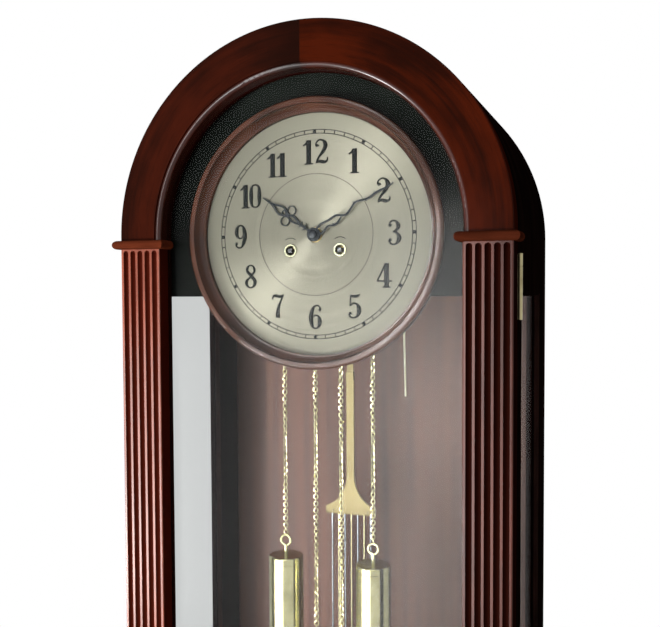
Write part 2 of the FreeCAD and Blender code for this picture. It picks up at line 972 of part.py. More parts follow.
pane = new_body("door_glass")
pane_half = glass_edge - size.seat_gap
pane_foot = rail_top - size.glass_rebate + size.seat_gap
front_slab(pane, arched(pane_half, pane_foot), size.glass_front, size.glass_thick)
dial_node("door_glass", pane)

bead_arch = new_body("bead_arch")
bead_deep = size.door_thick - glass_back
front_slab(
    bead_arch,
    [
        (pane_half, 0),
        (0, pane_half, pane_half),
        (-pane_half, 0, pane_half),
        (-door_inside, 0),
        (0, door_inside, -door_inside),
        (door_inside, 0, -door_inside),
    ],
    glass_back,
    bead_deep,
)
bead_wide = pane_half - door_inside
beads = [
    bead_arch,
    block("bead_right", (door_inside, glass_back, rail_top), (bead_wide, bead_deep, -rail_top)),
    block("bead_left", (-pane_half, glass_back, rail_top), (bead_wide, bead_deep, -rail_top)),
    block("bead_foot", (-pane_half, glass_back, pane_foot), (pane_half * 2, bead_deep, rail_top - pane_foot)),
]
dial_node("door_beads", group("door_beads", beads))

# Hinges: three brass butts on the right, each with five knuckles on one pin.
hinge_axis = size.case_radius + size.hinge_axis_out
hinge_depth = size.door_thick + size.door_gap / 2
leaf_edge = size.case_radius - size.board_slip
knuckles = 5


def hinge_leaf(name, foot, leaf_depth, turns, bore):
    """Leaf with the knuckles named by turns, counted from the foot."""
    step = size.hinge_high / knuckles
    parts = [block(
        name + "_plate",
        (leaf_edge - size.hinge_leaf_wide, leaf_depth, foot),
        (size.hinge_leaf_wide, size.hinge_leaf, size.hinge_high),
    )]
    for turn in turns:
        low = foot + step * turn + size.knuckle_gap / 2
        high = step - size.knuckle_gap
        span = (hinge_axis - leaf_edge, size.hinge_leaf, high)
        parts.append(block(name + "_tab", (leaf_edge, leaf_depth, low), span))
        parts.append(rod(name + "_knuckle", size.hinge_knuckle, high, (hinge_axis, hinge_depth, low)))
    hole = rod(name + "_bore", bore, size.hinge_high, (hinge_axis, hinge_depth, foot))
    return cut(name, fuse(name + "_leaf", parts), hole)


low_hinge = door_foot + size.hinge_foot
high_hinge = -size.hinge_drop - size.hinge_high / 2
door_leaves = []
case_leaves = []
for foot in (low_hinge, (low_hinge + high_hinge) / 2, high_hinge):
    door_leaf = hinge_leaf("door_leaf", foot, size.door_thick, (1, 3), size.hinge_pin + size.running_gap)
    case_depth = case_front - size.hinge_leaf
    case_leaf = hinge_leaf("case_leaf", foot, case_depth, (0, 2, 4), size.hinge_pin + size.running_gap / 2)
    door_leaves.append(door_leaf)
    case_leaves.append(case_leaf)
    case_leaves.append(rod("hinge_pin", size.hinge_pin, size.hinge_high, (hinge_axis, hinge_depth, foot)))
dial_node("hinge_door_leaves", group("hinge_door_leaves", door_leaves))
dial_node("hinge_case_leaves", group("hinge_case_leaves", case_leaves))

# Lock: an escutcheon on the left stile and a key whose cam turns behind the case's edge.
escutcheon_plate = rod(
    "escutcheon_plate",
    size.escutcheon_radius,
    size.escutcheon_thick,
    (-stile_middle, -size.escutcheon_thick, lock_drop),
    "y",
)
escutcheon_bore = rod(
    "escutcheon_bore",
    size.key_shank + size.running_gap,
    size.escutcheon_thick,
    (-stile_middle, -size.escutcheon_thick, lock_drop),
    "y",
)
dial_node("lock_escutcheon", cut("lock_escutcheon", escutcheon_plate, escutcheon_bore))

cam_front = size.door_thick + size.cam_gap
shank = rod(
    "key_shank",
    size.key_shank,
    size.key_length + cam_front + size.cam_thick,
    (-stile_middle, -size.key_length, lock_drop),
    "y",
)
cam = block(
    "lock_cam",
    (-stile_middle - size.cam_wide / 2, cam_front, lock_drop - size.cam_wide / 2),
    (size.cam_wide, size.cam_thick, size.cam_long + size.cam_wide / 2),
)
bow = document.addObject("Part::Torus", "key_bow")
bind(bow, "Radius1", size.key_bow - size.key_bow_wire)
bind(bow, "Radius2", size.key_bow_wire)
bow.Placement = Placement(Vector(), Rotation(Vector(0, 1, 0), 90))
move(bow, (-stile_middle, -size.key_length - size.key_bow + size.key_bow_wire, lock_drop))
dial_node("lock_key", fuse("lock_key", [shank, cam, bow]))

# Where the arbors of the movement stand, as places across and up from the middle of the dial.
centre_at = (length(0), length(0))
slow_at = (size.slow_out, -size.slow_drop)
third_at = (size.third_out, size.escape_height / 2)
escape_at = (length(0), size.escape_height)
pallet_at = (length(0), size.pallet_height)
great_at = (size.sprocket_out, -size.sprocket_drop)
strike_at = (-size.sprocket_out, -size.sprocket_drop)
pin_at = (-size.slow_out, -size.slow_drop)
fly_at = (-size.fly_out, size.fly_height)
motion_at = (length(0), size.motion_height)

# Movement frame: two brass plates on pillars, the dial's feet, the suspension cock and hammer ears.
pivot_hole = size.pivot_radius + size.running_gap
plate_back = size.plate_front + size.plate_thick + size.plate_room
both_plates = [centre_at, slow_at, third_at, escape_at, pallet_at, great_at, strike_at, pin_at, fly_at]


def rounded_plate(half_wide, low, high, radius):
    return [
        (half_wide - radius, low),
        (half_wide, low + radius, radius),
        (half_wide, high - radius),
        (half_wide - radius, high, radius),
        (radius - half_wide, high),
        (-half_wide, high - radius, radius),
        (-half_wide, low + radius),
        (radius - half_wide, low, radius),
    ]


plate_outline = rounded_plate(size.plate_half_wide, -size.plate_low, size.plate_top, size.plate_round)
frame_parts = []
for name, front, more in (("front_plate", size.plate_front, winders), ("back_plate", plate_back, [])):
    plate = new_body(name)
    holes = [(across, up, pivot_hole) for across, up in both_plates]
    holes += [(across, up, size.winder_radius + size.running_gap) for across, up in more]
    front_slab(plate, plate_outline, front, size.plate_thick, holes)
    frame_parts.append(plate)
pillar_inset = size.pillar_radius + size.pillar_inset / 3
for across in (-1, 1):
    for up in (pillar_inset - size.plate_low, size.plate_top - pillar_inset):
        place = (across * (size.plate_half_wide - pillar_inset), size.plate_front + size.plate_thick, up)
        frame_parts.append(rod("pillar", size.pillar_radius, size.plate_room, place, "y"))
    for up in (-1, 1):
        place = (across * size.dial_foot_out, size.dial_plane + size.dial_thick, up * size.dial_foot_up)
        long = size.plate_front - size.dial_plane - size.dial_thick
        frame_parts.append(rod("dial_foot", size.dial_foot_radius, long, place, "y"))
cock_front = plate_back + size.plate_thick
cock_deep = size.pendulum_depth - cock_front + size.cock_half
cock_foot = size.pallet_height + size.cock_half / 2
cock_arm = block(
    "cock_arm",
    (-size.cock_half, cock_front, cock_foot),
    (size.cock_half * 2, cock_deep, size.cock_high),
)
cock_chops = block(
    "cock_chops",
    (-size.cock_half, size.pendulum_depth - size.cock_half / 2, size.pallet_height),
    (size.cock_half * 2, size.cock_half, size.cock_half),
)
frame_parts.append(fuse("suspension_cock", [cock_arm, cock_chops]))
gong_depth = board_front - size.gong_gap
gong_block_front = board_front - size.gong_block_deep
hammer_depth = gong_depth - size.hammer_reach
rod_outs = [size.gong_first_out + size.gong_rod_pitch * turn for turn in range(4)]
ear_half = size.hammer_ear * 4
for out in (size.gong_first_out - size.gong_rod_pitch / 3, rod_outs[-1] + size.gong_rod_pitch):
    ear = block(
        "hammer_ear",
        (out - size.hammer_ear, cock_front, size.hammer_arbor_height - ear_half),
        (size.hammer_ear, hammer_depth - cock_front + ear_half, ear_half * 2),
    )
    hole = rod(
        "ear_hole",
        size.pivot_radius + size.running_gap,
        size.hammer_ear,
        (out - size.hammer_ear, hammer_depth, size.hammer_arbor_height),
        "x",
    )
    frame_parts.append(cut("bored_ear", ear, hole))
motion_stud = rod(
    "motion_stud",
    size.pivot_radius,
    size.plate_front - size.motion_front,
    (0, size.motion_front, size.motion_height),
    "y",
)
frame_parts.append(motion_stud)
dial_node("movement_frame", group("movement_frame", frame_parts))

# Wheels. The angle of a tooth is counted from +X towards +Z, and meshing teeth share a module.
TOOTH_ROOT_SHARE = 0.25
TOOTH_TIP_SHARE = 0.09
ADDENDUM_SHARE = 0.85
DEDENDUM_SHARE = 1.2


def distance(one, other):
    return math.hypot(float(one[0]) - float(other[0]), float(one[1]) - float(other[1]))


def direction(one, other):
    return math.atan2(float(other[1]) - float(one[1]), float(other[0]) - float(one[0]))


def module_between(one, teeth_one, other, teeth_other):
    return 2 * distance(one, other) / (teeth_one + teeth_other)


def meshed(angle, teeth, one, other, teeth_other):
    """Angle of a tooth of the second wheel that seats it in the teeth of the first."""
    line = direction(one, other)
    return line + math.pi + (line - angle) * teeth / teeth_other + math.pi / teeth_other


def place_at(centre, radius, angle, depth):
    across = float(centre[0]) + radius * math.cos(angle)
    up = float(centre[1]) + radius * math.sin(angle)
    return Vector(across, float(depth), up)


def disc(centre, radius, front, thick):
    start = Vector(float(centre[0]), float(front), float(centre[1]))
    return Part.makeCylinder(float(radius), float(thick), start, Vector(0, 1, 0))


def profile_solid(points, thick):
    face = Part.Face(Part.makePolygon(points + points[:1]))
    return face.extrude(Vector(0, float(thick), 0))


def toothed(centre, teeth, module, angle, front, thick):
    """Wheel or pinion with flat-topped teeth."""
    radius = module * teeth / 2
    pitch = 2 * math.pi / teeth
    root, tip = radius - DEDENDUM_SHARE * module, radius + ADDENDUM_SHARE * module
    points = []
    for tooth in range(teeth):
        middle = angle + tooth * pitch
        for reach, share in ((root, -TOOTH_ROOT_SHARE), (tip, -TOOTH_TIP_SHARE),
                             (tip, TOOTH_TIP_SHARE), (root, TOOTH_ROOT_SHARE)):
            points.append(place_at(centre, reach, middle + share * pitch, front))
    return profile_solid(points, thick)


def turned_piece(label, solids, bore=None):
    """Wheels, pinions and their arbor as one solid, bored where it turns on another's arbor."""
    shape = solids[0].multiFuse(solids[1:]) if len(solids) > 1 else solids[0]
    if bore is not None:
        shape = shape.cut(bore)
    return dial_node(label, shaped(label, shape.removeSplitter()))


def arbor(centre, front=None, back=None, radius=None):
    front = size.plate_front if front is None else front
    back = plate_back + size.plate_thick if back is None else back
    return disc(centre, size.pivot_radius if radius is None else radius, front, back - front)


centre_pinion_count, slow_wheel_count = 8, 40
slow_pinion_count, great_wheel_count = 8, 48
centre_wheel_count, third_pinion_count = 48, 6
third_wheel_count, escape_pinion_count = 45, 6
escape_tooth_count = 30
cannon_pinion_count, minute_wheel_count = 8, 24
minute_pinion_count, hour_wheel_count = 8, 32
winding_pinion_count, winding_wheel_count = 10, 30
strike_pinion_count, pin_wheel_count = 8, 40
fly_pinion_count = 6
wheel = size.wheel_thick
leaf = size.wheel_thick * 3

# Centre arbor: slow wheel's pinion, centre wheel, and the cannon that carries the minute hand.
centre_angle = 0.0
cannon_front = size.hand_front + size.hand_thick * 2
cannon_module = module_between(centre_at, cannon_pinion_count, motion_at, minute_wheel_count)
slow_module = module_between(centre_at, centre_pinion_count, slow_at, slow_wheel_count)
third_module = module_between(centre_at, centre_wheel_count, third_at, third_pinion_count)
turned_piece("centre_wheel", [
    arbor(centre_at, size.hand_front),
    disc(centre_at, size.cannon_radius, cannon_front, size.cannon_back - cannon_front),
    toothed(centre_at, cannon_pinion_count, cannon_module, centre_angle, size.cannon_back - leaf, leaf),
    toothed(centre_at, centre_pinion_count, slow_module, centre_angle, size.slow_depth - wheel, leaf),
    toothed(centre_at, centre_wheel_count, third_module, centre_angle, size.centre_depth, wheel),
])

# Motion work: a minute wheel on its stud steps the cannon down to the hour wheel's pipe.
motion_long = size.cannon_back - size.motion_front
minute_angle = meshed(centre_angle, cannon_pinion_count, centre_at, motion_at, minute_wheel_count)
hour_module = module_between(centre_at, hour_wheel_count, motion_at, minute_pinion_count)
turned_piece(
    "minute_wheel",
    [
        toothed(motion_at, minute_wheel_count, cannon_module, minute_angle, size.cannon_back - wheel * 2, wheel),
        toothed(motion_at, minute_pinion_count, hour_module, minute_angle, size.motion_front, leaf),
    ],
    disc(motion_at, size.pivot_radius + size.running_gap, size.motion_front, motion_long),
)
hour_angle = meshed(minute_angle, minute_pinion_count, motion_at, centre_at, hour_wheel_count)
pipe_back = size.cannon_back - leaf - size.seat_gap
turned_piece(
    "hour_wheel",
    [
        disc(centre_at, size.pipe_radius, size.hour_hand_front, pipe_back - size.hour_hand_front),
        toothed(centre_at, hour_wheel_count, hour_module, hour_angle, pipe_back - wheel, wheel),
    ],
    disc(centre_at, size.cannon_radius + size.running_gap, size.hour_hand_front, size.plate_front),
)

# Going train from the great wheel up to the escape wheel.
slow_angle = meshed(centre_angle, centre_pinion_count, centre_at, slow_at, slow_wheel_count)
great_module = module_between(slow_at, slow_pinion_count, great_at, great_wheel_count)
turned_piece("slow_wheel", [
    arbor(slow_at),
    toothed(slow_at, slow_wheel_count, slow_module, slow_angle, size.slow_depth, wheel),
    toothed(slow_at, slow_pinion_count, great_module, slow_angle, size.great_depth - wheel, leaf),
])


def great_wheel(label, centre, angle, module, teeth):
    """Great wheel that turns on the sprocket's arbor behind its click."""
    bore = disc(centre, size.pivot_radius + size.running_gap, size.great_depth, leaf)
    solids = [
        toothed(centre, teeth, module, angle, size.great_depth, wheel),
        disc(centre, size.pivot_radius * 3, size.great_depth, leaf),
    ]
    turned_piece(label, solids, bore)


great_angle = meshed(slow_angle, slow_pinion_count, slow_at, great_at, great_wheel_count)
great_wheel("great_wheel", great_at, great_angle, great_module, great_wheel_count)

third_angle = meshed(centre_angle, centre_wheel_count, centre_at, third_at, third_pinion_count)
escape_module = module_between(third_at, third_wheel_count, escape_at, escape_pinion_count)
turned_piece("third_wheel", [
    arbor(third_at),
    toothed(third_at, third_pinion_count, third_module, third_angle, size.centre_depth - wheel, leaf),
    toothed(third_at, third_wheel_count, escape_module, third_angle, size.third_depth, wheel),
])

escape_angle = meshed(third_angle, third_wheel_count, third_at, escape_at, escape_pinion_count)
escape_root = size.escape_radius - size.escape_tooth
escape_points = []
for tooth in range(escape_tooth_count):
    middle = 2 * math.pi * tooth / escape_tooth_count
    for reach, share in ((escape_root, 0), (size.escape_radius, 0.1), (size.escape_radius, 0.2), (escape_root, 0.5)):
        turn = middle + share * 2 * math.pi / escape_tooth_count
        escape_points.append(place_at(escape_at, float(reach), turn, size.escape_depth))
turned_piece("escape_wheel", [
    arbor(escape_at),
    profile_solid(escape_points, wheel),
    toothed(escape_at, escape_pinion_count, escape_module, escape_angle, size.third_depth - wheel, leaf),
])

# Anchor: pallets above the escape wheel, and the crutch whose two pins hold the leader.
pallet_front = size.escape_depth - size.seat_gap
arm_points = [
    (size.anchor_half * 0.15, size.pallet_height + size.anchor_half * 0.2),
    (size.anchor_half, size.pallet_height - size.anchor_drop * 0.8),
    (size.anchor_half * 0.82, size.pallet_height - size.anchor_drop),
    (size.anchor_half * 0.15, size.pallet_height - size.anchor_drop * 0.3),
]
anchor_solids = [
    arbor(pallet_at, None, cock_front + size.crutch_gap + size.crutch_thick),
    disc(pallet_at, size.pivot_radius * 2, pallet_front, wheel * 2),
]
for side in (-1, 1):
    corners = [Vector(side * float(across), float(pallet_front), float(up)) for across, up in arm_points]
    anchor_solids.append(profile_solid(corners, wheel * 2))


def solid_block(low, span):
    low, span = [float(amount) for amount in low], [float(amount) for amount in span]
    return Part.makeBox(*span, Vector(*low))


crutch_front = cock_front + size.crutch_gap
crutch_foot = size.pallet_height - size.crutch_long
fork_half = size.leader_half + size.crutch_thick
anchor_solids.append(solid_block(
    (-size.pivot_radius, crutch_front, crutch_foot),
    (size.pivot_radius * 2, size.crutch_thick, size.crutch_long),
))
anchor_solids.append(solid_block(
    (-fork_half, crutch_front, crutch_foot - size.crutch_thick),
    (fork_half * 2, size.crutch_thick, size.crutch_thick * 2),
))
for side in (-1, 1):
    pin_out = side * (size.leader_half + size.seat_gap + size.fork_pin)
    start = crutch_front + size.crutch_thick / 2
    pin_long = size.pendulum_depth + size.leader_half - start
    anchor_solids.append(disc((pin_out, crutch_foot), size.fork_pin, start, pin_long))
turned_piece("anchor", anchor_solids)

# Strike train: great wheel, pin wheel and fly.
pin_angle = 0.0
strike_angle = meshed(pin_angle, strike_pinion_count, pin_at, strike_at, great_wheel_count)
strike_module = module_between(pin_at, strike_pinion_count, strike_at, great_wheel_count)
fly_module = module_between(pin_at, pin_wheel_count, fly_at, fly_pinion_count)
great_wheel("strike_great_wheel", strike_at, strike_angle, strike_module, great_wheel_count)
pin_solids = [
    arbor(pin_at),
    toothed(pin_at, strike_pinion_count, strike_module, pin_angle, size.great_depth - wheel, leaf),
    toothed(pin_at, pin_wheel_count, fly_module, pin_angle, size.third_depth, wheel),
]
lift_pin_count = 8
for turn in range(lift_pin_count):
    spot = place_at(pin_at, float(size.lift_pin_out), 2 * math.pi * turn / lift_pin_count, 0)
    pin_solids.append(disc((spot.x, spot.z), size.fork_pin, size.third_depth, leaf))
turned_piece("pin_wheel", pin_solids)
fly_angle = meshed(pin_angle, pin_wheel_count, pin_at, fly_at, fly_pinion_count)
turned_piece("fly", [
    arbor(fly_at),
    toothed(fly_at, fly_pinion_count, fly_module, fly_angle, size.third_depth - wheel, leaf),
    solid_block(
        (fly_at[0] - size.fly_half, size.fly_front, fly_at[1] - size.wheel_thick / 4),
        (size.fly_half * 2, size.fly_long, size.wheel_thick / 2),
    ),
])

# Sprockets for the chains, each with its winding wheel, and the winding arbors in the dial.
cheek = size.sprocket_cheek
cheek_gap = size.chain_half + size.seat_gap * 2
for side, name, centre, winder in (
    (-1, "left", strike_at, winders[0]),
    (1, "right", great_at, winders[1]),
):
    winding_module = module_between(winder, winding_pinion_count, centre, winding_wheel_count)
    winder_angle = direction(winder, centre)
    wheel_angle = meshed(winder_angle, winding_pinion_count, winder, centre, winding_wheel_count)
    sprocket_front = size.chain_depth - cheek_gap - cheek
    turned_piece(f"sprocket_{name}", [
        arbor(centre),
        disc(centre, size.sprocket_core, sprocket_front, (cheek_gap + cheek) * 2),
        disc(centre, size.sprocket_flange, sprocket_front, cheek),
        disc(centre, size.sprocket_flange, size.chain_depth + cheek_gap, cheek),
        disc(centre, size.pivot_radius * 3, size.winding_depth, sprocket_front - size.winding_depth),
        toothed(centre, winding_wheel_count, winding_module, wheel_angle, size.winding_depth, wheel),
    ])
    key_square = size.winder_square / 2
    turned_piece(f"winder_{name}", [
        solid_block(
            (winder[0] - key_square, size.winder_front, winder[1] - key_square),
            (size.winder_square, size.plate_front - size.winder_front - wheel, size.winder_square),
        ),
        arbor(winder, size.plate_front - wheel, size.winding_depth + leaf, size.winder_radius),
        toothed(winder, winding_pinion_count, winding_module, winder_angle, size.winding_depth - wheel / 2, leaf),
    ])

# Hands: pierced and pointed, cut from sheet, each drawn upright and turned to ten past ten.
minute_hand_angle = 60
hour_hand_angle = 305


def smooth_edge(points):
    curve = Part.BSplineCurve()
    curve.interpolate(points)
    return curve.toShape()


def ribbon(points, front, thick):
    """Strip along the middle line through points of (across, along, half width)."""
    count = len(points)
    left, right = [], []
    for index, (across, along, half) in enumerate(points):
        before, after = points[max(index - 1, 0)], points[min(index + 1, count - 1)]
        run = Vector(float(after[0]) - float(before[0]), 0, float(after[1]) - float(before[1]))
        side = Vector(-run.z, 0, run.x).normalize() * float(half)
        middle = Vector(float(across), float(front), float(along))
        left.append(middle + side)
        right.append(middle - side)
    edges = [
        smooth_edge(left),
        Part.makeLine(left[-1], right[-1]),
        smooth_edge(right),
        Part.makeLine(right[0], left[0]),
    ]
    face = Part.Face(Part.Wire(Part.__sortEdges__(edges)))
    return face.extrude(Vector(0, float(thick), 0))


def thorn(across, along, reach, lean, front, thick):
    """Small pointed leaf on the edge of a hand."""
    foot = float(size.hand_line)
    points = [
        Vector(float(across), float(front), float(along) - foot),
        Vector(float(across), float(front), float(along) + foot),
        Vector(float(across) + float(reach), float(front), float(along) + float(lean)),
    ]
    return profile_solid(points, thick)


def loop(across, along, outer, front, thick):
    centre = (across, along)
    ring = disc(centre, outer, front, thick)
    return ring.cut(disc(centre, float(outer) - float(size.hand_line), front, thick))


def hand(label, solids, bore, turn):
    shape = solids[0].multiFuse(solids[1:]).cut(bore).removeSplitter()
    shape.rotate(Vector(), Vector(0, 1, 0), turn)
    return dial_node(label, shaped(label, shape))


# Places along the minute hand as shares of its length, and across it as shares too.
# Each strip starts inside the boss, at shares of its radius.
reach = dial_radius - size.minute_hand_gap
line = size.hand_line
minute_root_shares = [(0.346875, 0.69375), (-0.41625, 0.69375)]
minute_stem_shares = [(0.05, 0.12), (0.04, 0.22), (0.038, 0.31), (0.01, 0.36), (-0.012, 0.41),
                      (0.0, 0.45), (0.022, 0.5), (0.042, 0.55), (0.035, 0.6), (0.012, 0.66), (0.004, 0.72),
                      (0.01, 0.77), (0.006, 0.84), (0.0, 1.0)]
minute_loop_shares = [(-0.03, 0.12), (-0.012, 0.19), (-0.036, 0.24), (-0.03, 0.3), (0.004, 0.36)]
front, sheet_thick = size.hand_front + size.hand_thick, size.hand_thick
minute_parts = [disc(centre_at, size.hand_boss, front, sheet_thick)]
for root_shares, shares in zip(minute_root_shares, (minute_stem_shares, minute_loop_shares)):
    last = len(shares) - 1
    points = [(-size.hand_boss * root_shares[0], size.hand_boss * root_shares[1], line * 0.9)] + [
        (-reach * across, reach * along, line * (0.9 if index < last else 0.35))
        for index, (across, along) in enumerate(shares)
    ]
    minute_parts.append(ribbon(points, front, sheet_thick))
for across, along, out, lean in ((0.036, 0.31, 0.03, 0.0), (-0.014, 0.24, -0.04, 0.02), (0.042, 0.55, 0.035, -0.02),
                                 (0.012, 0.66, -0.035, 0.01), (0.01, 0.77, 0.03, 0.02), (0.0, 0.94, 0.02, 0.0),
                                 (0.0, 0.94, -0.02, 0.0)):
    minute_parts.append(thorn(-reach * across, reach * along, -reach * out, reach * lean, front, sheet_thick))
minute_cap = disc(centre_at, size.hand_boss * 0.8, size.hand_front, size.hand_thick)
hand_bore = disc(centre_at, size.pivot_radius + size.running_gap / 3, size.hand_front, size.hand_thick * 2)
hand("minute_hand", minute_parts + [minute_cap], hand_bore, minute_hand_angle)

reach = dial_radius - size.hour_hand_gap
front = size.hour_hand_front
stem_root_share = 0.787
stem_shares = [(0, 0.18), (0, 0.3)]
fork_shares = [(0, 0.28), (0.03, 0.36), (0.035, 0.44), (0, 0.5)]
arch_shares = [(0, 0.5), (0.03, 0.56), (0.062, 0.64), (0.04, 0.72), (0.012, 0.8), (0, 0.88)]
tip_shares = [(0, 0.78), (0, 0.9), (0, 1.0)]
hour_parts = [disc(centre_at, size.hand_boss, front, sheet_thick)]
for shares, sides in ((stem_shares, (1,)), (fork_shares, (-1, 1)), (arch_shares, (-1, 1)), (tip_shares, (1,))):
    for side in sides:
        last = len(shares) - 1
        points = [
            (reach * across * side, reach * along, line * (0.5 if shares is tip_shares and index == last else 0.9))
            for index, (across, along) in enumerate(shares)
        ]
        if shares is stem_shares:
            points.insert(0, (0, size.hand_boss * stem_root_share, line * 0.9))
        hour_parts.append(ribbon(points, front, sheet_thick))
for side in (-1, 1):
    hour_parts.append(loop(reach * 0.092 * side, reach * 0.5, reach * 0.075, front, sheet_thick))
    hour_parts.append(thorn(0, reach * 0.17, reach * 0.07 * side, reach * 0.03, front, sheet_thick))
    hour_parts.append(thorn(0, reach * 0.25, reach * 0.06 * side, reach * 0.02, front, sheet_thick))
hour_parts.append(loop(0, reach * 0.585, reach * 0.04, front, sheet_thick))
hour_bore = disc(centre_at, size.pipe_radius + size.running_gap / 3, front, sheet_thick)
hand("hour_hand", hour_parts, hour_bore, hour_hand_angle)

# Weights: brass cylinders with a hook ring, hung from the outer strands of the chains.
weight_out = size.sprocket_out + size.chain_turn
eye_reach = size.hook_eye + size.hook_wire
stem_high = size.hook_stem * 4
for side, name in ((-1, "left"), (1, "right")):
    shell = new_body(f"weight_shell_{name}")
    cap = size.weight_cap
    groove = size.weight_radius - size.weight_cap_round / 2
    corner = size.weight_radius - size.weight_cap_round
    shell_outline = [(0, -size.weight_high), (corner, -size.weight_high),
                     (size.weight_radius, size.weight_cap_round - size.weight_high, size.weight_cap_round)]
    for up in (cap * 2 - size.weight_high, -cap * 2 - size.weight_cap_round / 2):
        shell_outline += [(size.weight_radius, up), (groove, up), (groove, up + size.weight_cap_round / 2),
                          (size.weight_radius, up + size.weight_cap_round / 2)]
    shell_outline += [(size.weight_radius, -size.weight_cap_round), (corner, 0, size.weight_cap_round), (0, 0)]
    turned_about_height(shell, shell_outline)
    eye = document.addObject("Part::Torus", "hook_eye")
    bind(eye, "Radius1", size.hook_eye)
    bind(eye, "Radius2", size.hook_wire)
    eye.Placement = Placement(Vector(), Rotation(Vector(1, 0, 0), 90))
    move(eye, (0, 0, stem_high + eye_reach))
    hook = fuse("hook", [rod("hook_stem", size.hook_stem, stem_high + size.hook_wire, (0, 0, 0)), eye])
    weight = group(f"weight_{name}_body", [shell, hook])
    move(weight, (side * weight_out, size.chain_depth, -size.weight_top_drop))
    dial_node(f"weight_{name}", group(f"weight_{name}", [weight]))

# Chains, as plain tubes: a strand down to each weight, and one that goes over the sprocket and hangs free.
hook_top = stem_high + eye_reach * 2 - size.weight_top_drop
for side, name in ((-1, "left"), (1, "right")):
    strand_foot = hook_top + size.seat_gap
    strand = rod(
        "weight_strand",
        size.chain_half,
        -size.sprocket_drop - size.seat_gap - strand_foot,
        (side * weight_out, size.chain_depth, strand_foot),
    )
    dial_node(f"chain_{name}_weight", group(f"chain_{name}_weight", [strand]))
    free_out = side * (size.sprocket_out - size.chain_turn)
    hanging = rod(
        "hanging_strand",
        size.chain_half,
        size.free_chain_drop - size.sprocket_drop,
        (free_out, size.chain_depth, -size.free_chain_drop),
    )
    over = document.addObject("Part::Torus", "over_sprocket")
    bind(over, "Radius1", size.chain_turn)
    bind(over, "Radius2", size.chain_half)
    over.Angle3 = 180
    over.Placement = Placement(Vector(), Rotation(Vector(1, 0, 0), 90))
    move(over, (side * size.sprocket_out, size.chain_depth, -size.sprocket_drop))
    dial_node(f"chain_{name}_free", fuse(f"chain_{name}_free", [hanging, over]))
    ring = document.addObject("Part::Torus", "pull_ring")
    bind(ring, "Radius1", size.chain_ring - size.chain_ring_wire)
    bind(ring, "Radius2", size.chain_ring_wire)
    ring.Placement = Placement(Vector(), Rotation(Vector(1, 0, 0), 90))
    move(ring, (free_out, size.chain_depth, -size.free_chain_drop - size.seat_gap - size.chain_ring))
    dial_node(f"chain_ring_{name}", group(f"chain_ring_{name}", [ring]))

# Pendulum: leader from the suspension, flared stick, seven rods between brackets, bob and rating nut.
leader_front = size.pendulum_depth - size.leader_thick / 2
leader = new_body("leader_strip")
spring_top = size.pallet_height - size.seat_gap * 2
spring_foot = spring_top - size.spring_high
front_slab(
    leader,
    rectangle(-size.leader_half, -size.leader_drop, size.leader_half, spring_foot),
    leader_front,
    size.leader_thick,
)
spring = block(
    "suspension_spring",
    (-size.leader_half, size.pendulum_depth - size.spring_thick / 2, spring_foot),
    (size.leader_half * 2, size.spring_thick, size.spring_high),
)
hook_high = size.stick_top_drop - size.leader_drop - size.seat_gap
hook_block = block(
    "leader_hook",
    (-size.stick_half, size.pendulum_depth - size.hook_eye / 2, size.seat_gap - size.stick_top_drop),
    (size.stick_half * 2, size.hook_eye, hook_high),
)
dial_node("pendulum_leader", group("pendulum_leader", [fuse("leader", [leader, spring, hook_block])]))

stick_front = size.pendulum_depth - size.stick_thick / 2
rod_depth = size.pendulum_depth + size.stick_thick / 2 + size.running_gap + size.rod_radius
band = size.bracket_foot_drop - size.bracket_top_drop
flare_high = size.bracket_top_drop - size.bracket_rise_drop
stick_tip = size.stick_half
stick = new_body("upper_stick")
front_slab(
    stick,
    [
        (stick_tip, -size.stick_top_drop),
        (-stick_tip, -size.stick_top_drop),
        (-stick_tip, -size.bracket_rise_drop),
        (-size.bracket_half, -size.bracket_top_drop, -size.bracket_flare),
        (-size.bracket_half, -size.bracket_foot_drop),
        (size.bracket_half, -size.bracket_foot_drop),
        (size.bracket_half, -size.bracket_top_drop),
        (stick_tip, -size.bracket_rise_drop, -size.bracket_flare),
    ],
    stick_front,
    size.stick_thick,
)
lower = new_body("lower_stick")
band_foot = -size.rod_foot_drop
stick_foot = -size.bob_drop - size.bob_radius
front_slab(
    lower,
    [
        (size.bracket_half, band_foot + band),
        (-size.bracket_half, band_foot + band),
        (-size.bracket_half, band_foot),
        (-stick_tip, band_foot - flare_high, -size.bracket_flare),
        (-stick_tip, stick_foot),
        (stick_tip, stick_foot),
        (stick_tip, band_foot - flare_high),
        (size.bracket_half, band_foot, -size.bracket_flare),
    ],
    stick_front,
    size.stick_thick,
)
clamp_half = size.rod_pitch * 3 + size.rod_radius
clamp_depth = rod_depth + size.rod_radius + size.running_gap
clamps = [
    block(
        "rod_clamp",
        (-clamp_half, clamp_depth, foot),
        (clamp_half * 2, size.stick_thick, band),
    )
    for foot in (-size.bracket_foot_drop, band_foot)
]
tail_foot = (0, size.pendulum_depth, stick_foot - size.tail_long)
tail = rod("pendulum_tail", size.tail_radius, size.tail_long, tail_foot)
lower_part = fuse("lower_part", [lower, tail])
dial_node("pendulum_stick", group("pendulum_stick", [stick, lower_part] + clamps))

rods = []
rod_top = -size.bracket_top_drop
for turn in range(-3, 4):
    place = (size.rod_pitch * turn, rod_depth, band_foot)
    rods.append(rod("pendulum_rod", size.rod_radius, rod_top - band_foot, place))
dial_node("pendulum_rods", group("pendulum_rods", rods))

